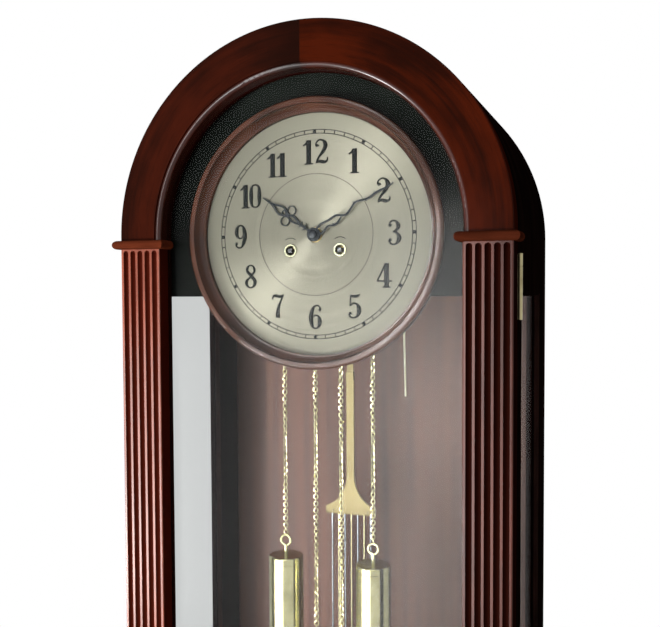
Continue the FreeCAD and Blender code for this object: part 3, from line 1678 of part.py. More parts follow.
bob = new_body("bob_lens")
half_thick = size.bob_thick / 2
turned_about_depth(
    bob,
    [
        (0, -half_thick),
        (size.bob_flat, -half_thick),
        (size.bob_radius, -size.bob_rim / 2, size.bob_curve),
        (size.bob_radius, size.bob_rim / 2),
        (size.bob_flat, half_thick, size.bob_curve),
        (0, half_thick),
    ],
)
slot_half = size.stick_half + size.seat_gap
slot_deep = size.stick_thick / 2 + size.seat_gap
slot_outline = rectangle(-slot_half, -slot_deep, slot_half, slot_deep)
slot_sketch = sketch_on(bob, "XY_Plane", slot_outline, size.bob_radius)
pocket(bob, slot_sketch, size.bob_radius * 2)
move(bob, (0, size.pendulum_depth, -size.bob_drop))
dial_node("pendulum_bob", group("pendulum_bob", [bob]))

nut_top = -size.bob_drop - size.bob_radius - size.seat_gap
nut_body = rod("nut_body", size.nut_radius, size.nut_high, (0, size.pendulum_depth, nut_top - size.nut_high))
nut_bore = rod(
    "nut_bore",
    size.tail_radius + size.running_gap,
    size.nut_high,
    (0, size.pendulum_depth, nut_top - size.nut_high),
)
dial_node("rating_nut", group("rating_nut", [cut("bored_nut", nut_body, nut_bore)]))

# Gong: a cast block on the back board with four rods of different lengths that hang from its foot.
gong_block = block(
    "gong_block",
    (size.gong_block_out, gong_block_front, size.gong_block_foot),
    (size.gong_block_wide, size.gong_block_deep, size.gong_block_high),
)
long_run = size.gong_block_foot + size.gong_long_drop
lean = Vector(float(size.gong_lean), 0, -float(long_run)).normalize()
gong_solids = []
for turn, out in enumerate(rod_outs):
    foot_drop = size.gong_long_drop if turn == 3 else size.gong_short_drop + size.gong_step * turn
    start = Vector(float(out), float(gong_depth), float(size.gong_block_foot - size.running_gap))
    run = float(size.gong_block_foot + foot_drop)
    gong_solids.append(Part.makeCylinder(float(size.gong_rod_radius), run, start, lean))
gong_rods = shaped("gong_rods", Part.makeCompound(gong_solids))
dial_node("gong", group("gong", [gong_block, gong_rods]))

# Hammers: four on one arbor behind the back plate, at rest just clear of the rods.
head_front = gong_depth - size.gong_rod_radius - size.hammer_rest_gap - size.hammer_head_long
arm_wide = size.hammer_ear
arbor_from = rod_outs[0] - size.gong_rod_pitch / 3 - size.hammer_ear
arbor_long = rod_outs[-1] + size.gong_rod_pitch - arbor_from
hammer_parts = [rod(
    "hammer_arbor",
    size.pivot_radius,
    arbor_long,
    (arbor_from, hammer_depth, size.hammer_arbor_height),
    "x",
)]
for out in rod_outs:
    hammer_parts.append(block(
        "hammer_arm",
        (out - arm_wide / 2, hammer_depth - arm_wide, size.hammer_arbor_height),
        (arm_wide, arm_wide * 2, size.hammer_head_height - size.hammer_arbor_height),
    ))
    arm_back = hammer_depth - arm_wide
    hammer_parts.append(rod(
        "hammer_head",
        size.hammer_head_radius,
        head_front + size.hammer_head_long - arm_back,
        (out, arm_back, size.hammer_head_height),
        "y",
    ))
dial_node("hammers", fuse("hammers", hammer_parts))


# Every object and every finished piece is checked before anything is written.
document.recompute()
faults = [thing.Name for thing in document.Objects if {"Invalid", "Error"} & set(thing.State)]
for thing in nodes:
    if thing.Shape.isNull() or not thing.Shape.isValid() or not thing.Shape.Solids:
        faults.append(thing.Label)
if faults:
    raise RuntimeError("not built: " + ", ".join(faults))

os.makedirs("parts", exist_ok=True)
for thing in nodes:
    thing.Shape.exportStep(f"parts/{thing.Label}.step")
print(f"{len(nodes)} nodes, {sum(len(thing.Shape.Solids) for thing in nodes)} solids")
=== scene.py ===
import bmesh
import bpy
import math
from mathutils import Matrix, Vector


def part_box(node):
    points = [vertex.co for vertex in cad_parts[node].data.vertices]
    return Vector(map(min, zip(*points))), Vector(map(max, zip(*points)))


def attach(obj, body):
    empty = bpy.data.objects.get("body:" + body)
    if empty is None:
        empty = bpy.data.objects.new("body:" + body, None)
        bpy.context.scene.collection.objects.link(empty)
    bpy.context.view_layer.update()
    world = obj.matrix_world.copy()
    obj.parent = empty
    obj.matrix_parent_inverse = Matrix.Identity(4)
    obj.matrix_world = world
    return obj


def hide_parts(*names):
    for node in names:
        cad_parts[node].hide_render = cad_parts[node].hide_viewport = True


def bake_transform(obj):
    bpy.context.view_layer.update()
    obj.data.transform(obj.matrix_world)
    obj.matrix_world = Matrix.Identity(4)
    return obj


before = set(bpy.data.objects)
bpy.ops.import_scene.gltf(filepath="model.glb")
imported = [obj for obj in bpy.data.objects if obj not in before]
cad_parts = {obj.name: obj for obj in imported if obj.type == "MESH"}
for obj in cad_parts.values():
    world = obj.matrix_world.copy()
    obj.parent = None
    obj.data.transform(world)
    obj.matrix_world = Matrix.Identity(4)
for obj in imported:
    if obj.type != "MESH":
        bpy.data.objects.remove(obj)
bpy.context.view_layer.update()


# The base: a plinth, a moulding and a box of boards with a fielded panel, all in mahogany.
# The wood is stained red-brown and sprayed with a thin satin lacquer that fills most of its pores.
class Signal:
    """A socket of a material's nodes. Sums of signals add Math nodes, and node() adds any other."""

    def __init__(self, socket):
        self.socket = socket

    def node(self, kind, settings, inputs, output=0):
        """Adds a node, with its settings first and then the values or links of its sockets."""
        tree = self.socket.id_data
        made = tree.nodes.new("ShaderNode" + kind)
        for name, value in settings.items():
            setattr(made, name, value)
        for name, value in inputs.items():
            if isinstance(value, Signal):
                tree.links.new(value.socket, made.inputs[name])
            else:
                made.inputs[name].default_value = value
        return Signal(made.outputs[output])

    def math(self, operation, other=0.0):
        """This signal, alone or with another value, through one Math node."""
        return self.node("Math", {"operation": operation}, {0: self, 1: other})

    def __add__(self, other):
        return self.math("ADD", other)

    def __sub__(self, other):
        return self.math("SUBTRACT", other)

    def __rsub__(self, other):
        return self.node("Math", {"operation": "SUBTRACT"}, {0: other, 1: self})

    def __mul__(self, other):
        return self.math("MULTIPLY", other)

    def part(self, axis):
        """One coordinate of a place: 0 is across, 1 is deep and 2 is up."""
        return self.node("SeparateXYZ", {}, {"Vector": self}, axis)

    def eased(self, low, high):
        """Runs from 0 at low to 1 at high, with soft ends."""
        spread = {"Value": self, "From Min": low, "From Max": high}
        return self.node("MapRange", {"interpolation_type": "SMOOTHSTEP"}, spread)

    def tint(self, first, second):
        """The first colour where this signal is 0 and the second where it is 1."""
        return self.node("Mix", {"data_type": "RGBA"}, {0: self, 6: first, 7: second}, 2)

    def mapped(self, scale=(1.0, 1.0, 1.0), turn=(0.0, 0.0, 0.0), shift=(0.0, 0.0, 0.0)):
        """The same place in coordinates that are stretched, turned and then shifted."""
        return self.node("Mapping", {}, {"Vector": self, "Scale": scale, "Rotation": turn, "Location": shift})

    def noise(self, scale, detail):
        """Cloudy noise, finer in the directions that scale stretches."""
        cloudy = {"Vector": self.mapped(scale), "Scale": 1.0, "Detail": detail, "Roughness": 0.55}
        return self.node("TexNoise", {}, cloudy)

    def bump(self, strength, distance, width=0.1):
        """The normal of a surface with this height, whose slope is taken over a width in pixels."""
        raised = {"Height": self, "Strength": strength, "Distance": distance, "Filter Width": width}
        return self.node("Bump", {}, raised)


def colour(red, green, blue):
    """A colour written as 0 to 255 on a screen, as the shader's own values."""
    parts = [value / 255 for value in (red, green, blue)]
    return (*[part / 12.92 if part < 0.04045 else ((part + 0.055) / 1.055) ** 2.4 for part in parts], 1.0)


def material(name, shade):
    """A material whose surface is what shade() gives for the object's own coordinates."""
    made = bpy.data.materials.new(name)
    made.use_nodes = True
    tree = made.node_tree
    place = Signal(tree.nodes.new("ShaderNodeTexCoord").outputs["Object"])
    for socket, value in shade(place).items():
        target = tree.nodes["Principled BSDF"].inputs[socket]
        if isinstance(value, Signal):
            tree.links.new(value.socket, target)
        else:
            target.default_value = value
    return made


def upright(place):
    """The coordinates of an upright board, whose grain runs along the third."""
    return place


def level(place):
    """The coordinates of a board that lies across, turned so that its grain runs along the third."""
    return place.mapped(turn=(0.0, math.pi / 2, 0.0))


def mahogany(dark, light, grain, shift=0.0):
    """Shading of stained mahogany, with its grain along the third coordinate that grain() gives.

    Its coat shows only on the pieces that add a Coat Weight.
    """
    pore_colour = (*[0.4 * part for part in dark[:3]], 1.0)

    def shade(place):
        wood = grain(place).mapped(shift=(shift, shift * 1.7, shift * 0.4))
        cloud = wood.noise((24.0, 24.0, 8.0), 3.0)
        stripe = wood.noise((190.0, 190.0, 6.0), 4.0)
        pore = wood.noise((1300.0, 1300.0, 42.0), 2.0).eased(0.55, 0.75)
        figure = (cloud * 0.8 + stripe * 0.3).eased(0.4, 0.7)
        return {
            "Base Color": (pore * 0.45).tint(figure.tint(dark, light), pore_colour),
            "Roughness": stripe * 0.1 + pore * 0.12 + 0.26,
            "Specular IOR Level": 0.0,
            "Coat Roughness": 0.2,
            "Normal": (stripe * 0.4 - pore).bump(0.1, 0.0003),
        }

    return shade


def dress(finish, *names):
    """Gives these carried-over pieces one finish."""
    for name in names:
        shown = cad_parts[name]
        shown.data.materials.clear()
        shown.data.materials.append(finish)


dark_stain = colour(40, 13, 7)
red_stain = colour(74, 26, 12)
level_mahogany = material("mahogany_level", mahogany(dark_stain, red_stain, level, 0.3))
upright_mahogany = material("mahogany_upright", mahogany(dark_stain, red_stain, upright))
dress(level_mahogany, "plinth", "base_moulding", "base_panel")
dress(upright_mahogany, "base_box")


# The trunk: two sides with glazed windows, a bent head, and a seat board for the movement.
# Its outside has a darker stain than the door, and its near-black colour is painted shade for faces away from the
# light.
dial_up = 1.785
bend_radius = 0.21


def polar(about):
    """How far a place lies from the middle, and its turn from straight up in radians."""
    across = about.part(0)
    up = about.part(2)
    return (across * across + up * up).math("SQRT"), across.math("ARCTAN2", up)


def arched(place):
    """Coordinates that run with the grain of a board bent round the dial."""
    about = place.mapped(shift=(0.0, 0.0, -dial_up))
    out, turn = polar(about)
    return about.node("CombineXYZ", {}, {"X": out, "Y": about.part(1), "Z": turn * bend_radius})


# Near-black colours: a darker stain, and painted shade for faces away from the light.
case_painted_shade_dark = colour(9, 5, 4)
case_painted_shade_light = colour(22, 11, 9)
case_side_shaded_wood = material("mahogany_case_side_shaded", mahogany(case_painted_shade_dark, case_painted_shade_light, upright, 0.7))
case_head_shaded_wood = material("mahogany_case_head_shaded", mahogany(case_painted_shade_dark, case_painted_shade_light, arched, 0.1))
dress(case_side_shaded_wood, "case_side_left", "case_side_right", "seat_board")
dress(case_head_shaded_wood, "case_head")


# The back board: a veneered panel with upright figure, seen through the door.
# It is a flatter, browner red than the solid wood and has hardly any gloss.
def veneer(place):
    broad = place.noise((9.0, 9.0, 0.7), 2.0)
    stripe = place.noise((70.0, 70.0, 1.8), 3.0)
    fine = place.noise((520.0, 520.0, 12.0), 2.0)
    figure = (broad * 0.6 + stripe * 0.8).eased(0.5, 0.95)
    return {
        "Base Color": (fine * 0.35).tint(figure.tint(colour(65, 37, 25), colour(99, 60, 42)), colour(48, 27, 18)),
        "Roughness": fine * 0.1 + 0.42,
        "Specular IOR Level": 0.25,
        "Normal": fine.bump(0.08, 0.0002),
    }


dress(material("back_veneer", veneer), "back_board")


# The mask: a board of sheet wood round the dial, which hides the movement behind it.
# It is sprayed with a dark grey-green paint that is flat and slightly dusty.
def mask_paint(place):
    cloud = place.noise((14.0, 14.0, 14.0), 3.0)
    grit = place.noise((400.0, 400.0, 400.0), 2.0)
    return {
        "Base Color": cloud.eased(0.35, 0.7).tint(colour(12, 15, 13), colour(22, 25, 22)),
        "Roughness": grit * 0.12 + 0.45,
        "Specular IOR Level": 0.0,
        "Normal": grit.bump(0.05, 0.0002),
    }


dress(material("mask_paint", mask_paint), "dial_mask")


# The panes: clear polished float glass in the door and in the two side windows, whose grey tone is painted shade.
# Shadows and scattered light pass them unbent, and their faces reflect the lamps softly and thinly.
def clear_glass(name, tone, reflection):
    """Glass that is a transparent sheet for shadow rays and scattered light."""
    made = material(name, lambda place: {
        "Base Color": tone,
        "Roughness": 0.0,
        "Transmission Weight": 1.0,
        "IOR": 1.0,
        "Coat Weight": reflection,
        "Coat IOR": 1.22,
        "Coat Roughness": 0.15,
    })
    tree = made.node_tree
    glass = Signal(tree.nodes["Principled BSDF"].outputs[0])
    path = tree.nodes.new("ShaderNodeLightPath").outputs
    passed = Signal(path["Is Shadow Ray"]).math("MAXIMUM", Signal(path["Is Diffuse Ray"]))
    clear = passed.node("BsdfTransparent", {}, {})
    mixed = passed.node("MixShader", {}, {0: passed, 1: glass, 2: clear})
    tree.links.new(mixed.socket, tree.nodes["Material Output"].inputs["Surface"])
    return made


dress(clear_glass("pane_door", (0.98, 0.99, 0.985, 1.0), 0.35), "door_glass")
# The side panes' grey tone is painted shade that dims the view through the side windows.
dress(clear_glass("pane_side_grey_shade", (0.6, 0.61, 0.61, 1.0), 0.08), "side_glass")


# The door: an arched head of two halves, two fluted stiles with capitals, and a foot rail.
# The halves are cut from different boards, so the right one is redder, and the lip is rubbed glossy.
door_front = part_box("door_stile_left")[0].y
door_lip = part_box("door_stile_left")[1].x
front_from = 0.004
front_full = 0.001
lip_wide = 0.004
lip_fade = 0.003
patch_from = 0.062
patch_full = 0.02
patch_ragged = 0.03
flute_shade_from = 0.0002
flute_shade_full = 0.0016
plain_foot = 0.04
foot_fade = 0.012
flute_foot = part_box("door_stile_left")[0].z + plain_foot


def front_face(place):
    """1 on the door's front face and 0 on the edges behind it."""
    return place.part(1).eased(door_front + front_from, door_front + front_full)


def arch_half(name, dark, light, shift, joint_shade):
    """One half of the arched head, with a darker patch beside the joint at the top."""

    def shade(place):
        finish = mahogany(dark, light, arched, shift)(place)
        bent = arched(place)
        ragged = bent.noise((60.0, 60.0, 25.0), 2.0) * patch_ragged
        patch = (bent.part(2).math("ABSOLUTE") + ragged).eased(patch_from, patch_full) * joint_shade
        lip = bent.part(0).eased(-door_lip + lip_wide + lip_fade, -door_lip + lip_wide) * 0.65
        finish["Base Color"] = patch.tint(finish["Base Color"], colour(22, 7, 4))
        finish["Coat Weight"] = front_face(place) * 0.03 + lip
        return finish

    return material(name, shade)


def fluted(name, dark, light, flute_shade_colour, polish):
    """A stile's wood: darker in the flutes by depth, as painted shade; the flat lands keep the wood's colours and
    a coat.
    """

    def shade(place):
        finish = mahogany(dark, light, upright, 2.1)(place)
        # Painted shade: the flutes darken with their depth behind the door's front.
        flute_shade = place.part(1).eased(door_front + flute_shade_from, door_front + flute_shade_full)
        rubbed = place.part(2).eased(flute_foot - foot_fade, flute_foot + foot_fade)
        lands = rubbed.tint(red_stain, finish["Base Color"])
        finish["Base Color"] = flute_shade.tint(lands, flute_shade_colour)
        finish["Coat Weight"] = (1 - flute_shade) * polish
        return finish

    return material(name, shade)


arch_left_wood = arch_half("mahogany_arch_left", colour(28, 9, 5), colour(50, 16, 7), 0.45, 0.85)
arch_right_wood = arch_half("mahogany_arch_right", colour(28, 7, 3), colour(57, 16, 4), 1.3, 0.0)
# The left stile's lighter colours are painted light: a lit copy of the right stile's wood.
stile_left_lit_wood = fluted("mahogany_stile_left_lit", colour(108, 50, 33), colour(140, 70, 49), colour(62, 18, 9), 0.9)
stile_right_wood = fluted("mahogany_stile_right", colour(58, 25, 18), colour(88, 42, 31), colour(30, 8, 5), 0.45)
capital_wood = material("mahogany_capital", mahogany(colour(56, 23, 12), colour(85, 37, 21), level, 1.9))
dress(arch_left_wood, "door_arch_left")
dress(arch_right_wood, "door_arch_right")
dress(stile_left_lit_wood, "door_stile_left")
dress(stile_right_wood, "door_stile_right", "door_beads")
dress(capital_wood, "door_capitals")
dress(level_mahogany, "door_foot_rail")


# Brass fittings: hinges, lock plate and key, pressed or turned, polished and then lacquered.
# The chains, the weights and most of the movement are of other brass with the same kind of finish.
def brass(name, bright, dull, roughness, brushed):
    """Lacquered brass with fine marks; brushed gives how their pattern is stretched."""

    def shade(place):
        cloud = place.noise((30.0, 30.0, 30.0), 3.0).eased(0.35, 0.75)
        mark = place.noise(brushed, 2.0)
        return {
            "Base Color": (cloud * 0.5 + mark * 0.3).tint(bright, dull),
            "Metallic": 1.0,
            "Roughness": mark * 0.14 + cloud * 0.05 + roughness,
            "Normal": mark.bump(0.05, 0.0002),
        }

    return material(name, shade)


pale_brass = (0.74, 0.66, 0.40, 1.0)
warm_brass = (0.58, 0.46, 0.22, 1.0)
fitting_brass = brass("brass_fittings", pale_brass, warm_brass, 0.2, (900.0, 900.0, 40.0))
hinge_brass = brass("brass_hinges", (0.4, 0.35, 0.2, 1.0), (0.2, 0.16, 0.08, 1.0), 0.32, (900.0, 900.0, 300.0))
dress(hinge_brass, "hinge_door_leaves", "hinge_case_leaves")
dress(fitting_brass, "lock_escutcheon", "lock_key")


# The ring: a mahogany moulding, turned in two halves that lie on the mask round the dial.
# It is polished by hand, so its lacquer shines more than the door's, and a little unevenly.
def ring_finish(place):
    finish = mahogany(colour(46, 25, 16), colour(76, 44, 31), arched, 2.6)(place)
    finish["Coat Weight"] = place.noise((40.0, 40.0, 40.0), 2.0) * 0.3 + 0.5
    finish["Coat Roughness"] = 0.1
    finish["Normal"] = place.noise((300.0, 300.0, 300.0), 2.0).bump(0.05, 0.0001)
    return finish


dress(material("mahogany_ring", ring_finish), "dial_ring_left", "dial_ring_right")


# The dial: a disc of champagne metal, spun against an abrasive so that it has circular scratches.
# The scratches catch the light in a bow that runs through the centre. They are far finer than a
# pixel, and only a bump whose slope is taken over a very small width keeps them.
dial_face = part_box("dial_disc")[0].y
dial_centre = Vector((0.0, dial_face, dial_up))
scratches_per_metre = 30000.0
scratch_deep = 0.00005
scratch_width = 0.01


def spun_metal(place):
    about = place.mapped(shift=(0.0, 0.0, -dial_up))
    out, turn = polar(about)
    scratch = about.node("CombineXYZ", {}, {"X": out}).noise((scratches_per_metre, 1.0, 1.0), 0.0)
    streak = about.node("CombineXYZ", {}, {"X": out * 900.0, "Y": turn * 3.0}).noise((1.0, 1.0, 1.0), 2.0)
    return {
        "Base Color": streak.eased(0.2, 0.8).tint((0.153, 0.147, 0.116, 1.0), (0.16, 0.153, 0.121, 1.0)),
        "Metallic": 1.0,
        "Roughness": streak * 0.02 + 0.35,
        "Normal": scratch.bump(1.0, scratch_deep, scratch_width),
    }


dress(material("spun_dial", spun_metal), "dial_disc")


# The print on the dial: black ink laid on by screen, a few hundredths of a millimetre thick.
# A railway track counts the minutes, with a square at each hour, and a fine line rings the centre.
def ink(place):
    coverage = place.noise((700.0, 700.0, 700.0), 2.0)
    return {
        "Base Color": coverage.tint((0.006, 0.007, 0.007, 1.0), (0.016, 0.018, 0.017, 1.0)),
        "Roughness": coverage * 0.2 + 0.4,
        "Specular IOR Level": 0.05,
    }


ink_finish = material("dial_ink", ink)
ink_thick = 0.00008
track_inner = 0.1167
track_outer = 0.121
track_line = 0.0009
tick_wide = 0.0012
square_wide = 0.004
centre_ring = 0.0706
centre_line = 0.0005


def flat_band(mesh, radius, width, turn=0.0, sweep=2 * math.pi, steps=180):
    """A flat band of ink in a circle, or in an arc that starts at a turn."""
    inner = mesh.verts.new((radius - width / 2, 0.0, 0.0))
    outer = mesh.verts.new((radius + width / 2, 0.0, 0.0))
    edge = mesh.edges.new((inner, outer))
    bmesh.ops.rotate(mesh, verts=[inner, outer], matrix=Matrix.Rotation(turn, 3, "Y"))
    whole = sweep == 2 * math.pi
    bmesh.ops.spin(
        mesh, geom=[inner, outer, edge], cent=(0, 0, 0), axis=(0, 1, 0), angle=sweep, steps=steps, use_merge=whole
    )


def bar(mesh, low, high, turn):
    """A flat bar of ink between two corners, turned about the dial's centre."""
    middle = (low + high) / 2
    span = high - low
    grown = Matrix.Rotation(turn, 4, "Y") @ Matrix.Translation((middle.x, 0, middle.y))
    grown = grown @ Matrix.Diagonal((span.x, 1.0, span.y, 1.0)) @ Matrix.Rotation(math.pi / 2, 4, "X")
    bmesh.ops.create_grid(mesh, x_segments=1, y_segments=1, size=0.5, matrix=grown)


def piece(mesh, name, finish, body):
    """Ends a mesh: one object at the origin, which rides on a body when one is given."""
    data = bpy.data.meshes.new(name)
    mesh.to_mesh(data)
    mesh.free()
    data.materials.append(finish)
    made = bpy.data.objects.new(name, data)
    bpy.context.scene.collection.objects.link(made)
    if body:
        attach(made, body)
    return made


def print_on_dial(mesh, name, centre=dial_centre):
    """Gives the flat mesh its thickness and lays it on the dial."""
    bmesh.ops.remove_doubles(mesh, verts=mesh.verts, dist=1e-7)
    bmesh.ops.recalc_face_normals(mesh, faces=mesh.faces)
    raised = bmesh.ops.extrude_face_region(mesh, geom=mesh.faces[:])["geom"]
    lifted = [part for part in raised if isinstance(part, bmesh.types.BMVert)]
    bmesh.ops.translate(mesh, verts=lifted, vec=(0, -ink_thick, 0))
    bmesh.ops.translate(mesh, verts=mesh.verts, vec=centre)
    bmesh.ops.recalc_face_normals(mesh, faces=mesh.faces)
    piece(mesh, name, ink_finish, "case")


track = bmesh.new()
for radius in (track_inner, track_outer):
    flat_band(track, radius, track_line)
for minute in range(60):
    half = (square_wide if minute % 5 == 0 else tick_wide) / 2
    bar(track, Vector((-half, track_inner)), Vector((half, track_outer)), minute * math.pi / 30)
print_on_dial(track, "minute_track")

inner_line = bmesh.new()
flat_band(inner_line, centre_ring, centre_line)
print_on_dial(inner_line, "centre_circle")


# The numerals: upright figures with heavy stems, hairlines and ball ends, printed like the track.
# Each is drawn as a few pen strokes on a square of height 1: (across, up, half the stroke's width).
figures = {
    "0": [("closed", (0.25, 0.975, 0.022), (0.088, 0.5, 0.082), (0.25, 0.025, 0.022), (0.412, 0.5, 0.082))],
    "1": [
        ("straight", (0.28, 0.0, 0.078), (0.28, 0.99, 0.078)),
        ("bent", (0.24, 0.985, 0.03), (0.2, 0.87, 0.036), (0.07, 0.77, 0.026)),
        ("straight", (0.11, 0.018, 0.02), (0.45, 0.018, 0.02)),
    ],
    "2": [
        ("bent", (0.13, 0.7, 0.06), (0.11, 0.735, 0.065), (0.06, 0.77, 0.03), (0.11, 0.92, 0.022),
         (0.25, 0.975, 0.028), (0.41, 0.79, 0.08), (0.34, 0.53, 0.07), (0.17, 0.28, 0.038), (0.07, 0.09, 0.024)),
        ("bent", (0.05, 0.04, 0.03), (0.18, 0.105, 0.055), (0.33, 0.07, 0.07), (0.45, 0.09, 0.035),
         (0.49, 0.26, 0.013)),
    ],
    "3": [
        ("bent", (0.15, 0.77, 0.055), (0.11, 0.79, 0.062), (0.09, 0.87, 0.024), (0.24, 0.975, 0.026),
         (0.39, 0.78, 0.074), (0.34, 0.61, 0.05), (0.2, 0.53, 0.02)),
        ("bent", (0.2, 0.53, 0.02), (0.34, 0.48, 0.04), (0.42, 0.27, 0.085), (0.25, 0.025, 0.026),
         (0.08, 0.13, 0.026), (0.11, 0.21, 0.062), (0.15, 0.225, 0.055)),
    ],
    "4": [
        ("straight", (0.36, 0.0, 0.075), (0.36, 0.99, 0.075)),
        ("straight", (0.33, 0.97, 0.026), (0.03, 0.27, 0.026)),
        ("straight", (0.015, 0.265, 0.024), (0.55, 0.265, 0.024)),
        ("straight", (0.21, 0.018, 0.02), (0.51, 0.018, 0.02)),
    ],
    "5": [
        ("bent", (0.11, 0.95, 0.02), (0.24, 0.9, 0.055), (0.37, 0.915, 0.055), (0.46, 0.99, 0.013)),
        ("straight", (0.12, 0.95, 0.02), (0.1, 0.5, 0.02)),
        ("bent", (0.1, 0.51, 0.02), (0.26, 0.615, 0.028), (0.43, 0.34, 0.085), (0.25, 0.025, 0.026),
         (0.07, 0.12, 0.026), (0.11, 0.2, 0.06), (0.15, 0.215, 0.052)),
    ],
    "6": [
        ("bent", (0.37, 0.79, 0.05), (0.41, 0.8, 0.058), (0.43, 0.88, 0.024), (0.29, 0.975, 0.024),
         (0.11, 0.68, 0.074), (0.09, 0.34, 0.082), (0.25, 0.025, 0.024), (0.415, 0.3, 0.078), (0.27, 0.575, 0.024),
         (0.14, 0.46, 0.02)),
    ],
    "7": [
        ("bent", (0.05, 0.76, 0.013), (0.09, 0.92, 0.034), (0.2, 0.925, 0.064), (0.34, 0.89, 0.054),
         (0.48, 0.98, 0.02)),
        ("bent", (0.48, 0.97, 0.02), (0.37, 0.7, 0.032), (0.27, 0.38, 0.064), (0.25, 0.0, 0.086)),
    ],
    "8": [
        ("closed", (0.25, 0.975, 0.022), (0.105, 0.79, 0.052), (0.25, 0.55, 0.07), (0.42, 0.25, 0.066),
         (0.25, 0.025, 0.022), (0.075, 0.24, 0.056), (0.24, 0.49, 0.026), (0.4, 0.78, 0.045)),
    ],
}
figures["9"] = [
    [kind, *[(0.5 - across, 1 - up, half) for across, up, half in points]] for kind, *points in figures["6"]
]
figure_high = 0.028
figure_stretch = 1.17
figure_flat = 0.0005
figure_weight = 0.013
figure_out = 0.0955
figure_pitch = 0.42
pitch_of_pairs = {"11": 0.38, "12": 0.5}


def pen_strokes(figure, left):
    """The strokes of one figure as a curve of round section, 1 high along Z."""
    drawn = bpy.data.curves.new("figure", "CURVE")
    drawn.dimensions = "3D"
    drawn.bevel_depth = 1.0
    drawn.bevel_resolution = 1
    drawn.resolution_u = 7
    drawn.use_fill_caps = True
    for kind, *points in figures[figure]:
        spline = drawn.splines.new("BEZIER")
        spline.radius_interpolation = "EASE"
        spline.bezier_points.add(len(points) - 1)
        spline.use_cyclic_u = kind == "closed"
        for knot, (across, up, half) in zip(spline.bezier_points, points):
            knot.co = (left + across, 0.0, up - 0.5)
            knot.radius = half + figure_weight
            knot.handle_left_type = knot.handle_right_type = "VECTOR" if kind == "straight" else "AUTO"
    holder = bpy.data.objects.new("figure", drawn)
    strokes = bpy.data.meshes.new_from_object(holder)
    bpy.data.objects.remove(holder)
    return strokes


for hour in range(1, 13):
    turn = hour * math.pi / 6
    numeral = bmesh.new()
    name = str(hour)
    pitch = pitch_of_pairs.get(name, figure_pitch)
    for index, figure in enumerate(name):
        numeral.from_mesh(pen_strokes(figure, (index - (len(name) - 1) / 2) * pitch - 0.25))
    bmesh.ops.scale(numeral, vec=(figure_high * figure_stretch, figure_flat, figure_high), verts=numeral.verts)
    spot = (figure_out * math.sin(turn), dial_face - ink_thick, dial_centre.z + figure_out * math.cos(turn))
    bmesh.ops.translate(numeral, vec=spot, verts=numeral.verts)
    piece(numeral, f"numeral_{hour}", ink_finish, "case")


# The winding holes: each has a turned brass eyelet, pressed into the dial from the front.
# A short arc is printed over each hole like a brow.
brow_up = 0.0138
brow_half = 0.0066
brow_radius = brow_half * 1.6
brow_line = 0.0009
eyelet_low, eyelet_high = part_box("dial_eyelets")
eyelet_radius = (eyelet_high.z - eyelet_low.z) / 2
eyelet_up = (eyelet_low.z + eyelet_high.z) / 2 - dial_centre.z
eyelet_out = (eyelet_high.x - eyelet_low.x) / 2 - eyelet_radius


def eyelet_brass(place):
    """Brass on the rolled rim, and nearly black in the throat as painted shade."""
    about = place.mapped(shift=(0.0, 0.0, -dial_centre.z - eyelet_up))
    across = about.part(0).math("ABSOLUTE") - eyelet_out
    up = about.part(2)
    # Painted shade: the throat inside the rolled rim is nearly black.
    rim = (across * across + up * up).math("SQRT").eased(eyelet_radius * 0.66, eyelet_radius * 0.8)
    return {
        "Base Color": rim.tint((0.03, 0.03, 0.02, 1.0), (0.5, 0.5, 0.34, 1.0)),
        "Metallic": 1.0,
        "Roughness": place.noise((400.0, 400.0, 400.0), 2.0) * 0.1 + 0.16,
    }


dress(material("brass_eyelets_shaded_throat", eyelet_brass), "dial_eyelets")
for side, name in ((-1, "left"), (1, "right")):
    brow = bmesh.new()
    sweep = 2 * math.asin(brow_half / brow_radius)
    flat_band(brow, brow_radius, brow_line, -math.pi / 2 - sweep / 2, sweep, 12)
    middle = Vector((side * eyelet_out, dial_face, dial_centre.z + eyelet_up + brow_up - brow_radius * 0.9))
    print_on_dial(brow, f"winding_mark_{name}", middle)


# The hands: pierced from sheet steel, filed by hand and lacquered black.
# A domed cap of the same black steel covers the end of the centre arbor.
def black_lacquer(place):
    coat = place.noise((260.0, 260.0, 260.0), 3.0)
    return {
        "Base Color": coat.tint((0.006, 0.008, 0.01, 1.0), (0.014, 0.018, 0.022, 1.0)),
        "Roughness": coat * 0.18 + 0.24,
        "Specular IOR Level": 0.2,
        "Normal": coat.bump(0.04, 0.0002),
    }


hand_finish = material("hand_lacquer", black_lacquer)
dress(hand_finish, "minute_hand", "hour_hand")
cap_radius = 0.0052
cap_high = 0.0024
cap = bmesh.new()
bmesh.ops.create_uvsphere(cap, u_segments=32, v_segments=16, radius=cap_radius)
bmesh.ops.rotate(cap, matrix=Matrix.Rotation(math.pi / 2, 3, "X"), verts=cap.verts)
sphere = cap.verts[:] + cap.edges[:] + cap.faces[:]
bmesh.ops.bisect_plane(cap, geom=sphere, plane_co=(0, 0, 0), plane_no=(0, 1, 0), clear_outer=True)
bmesh.ops.scale(cap, vec=(1.0, cap_high / cap_radius, 1.0), verts=cap.verts)
bmesh.ops.holes_fill(cap, edges=[edge for edge in cap.edges if edge.is_boundary])
bmesh.ops.translate(cap, vec=(0.0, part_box("minute_hand")[0].y, dial_centre.z), verts=cap.verts)
bmesh.ops.recalc_face_normals(cap, faces=cap.faces)
piece(cap, "hand_cap", hand_finish, "minute")


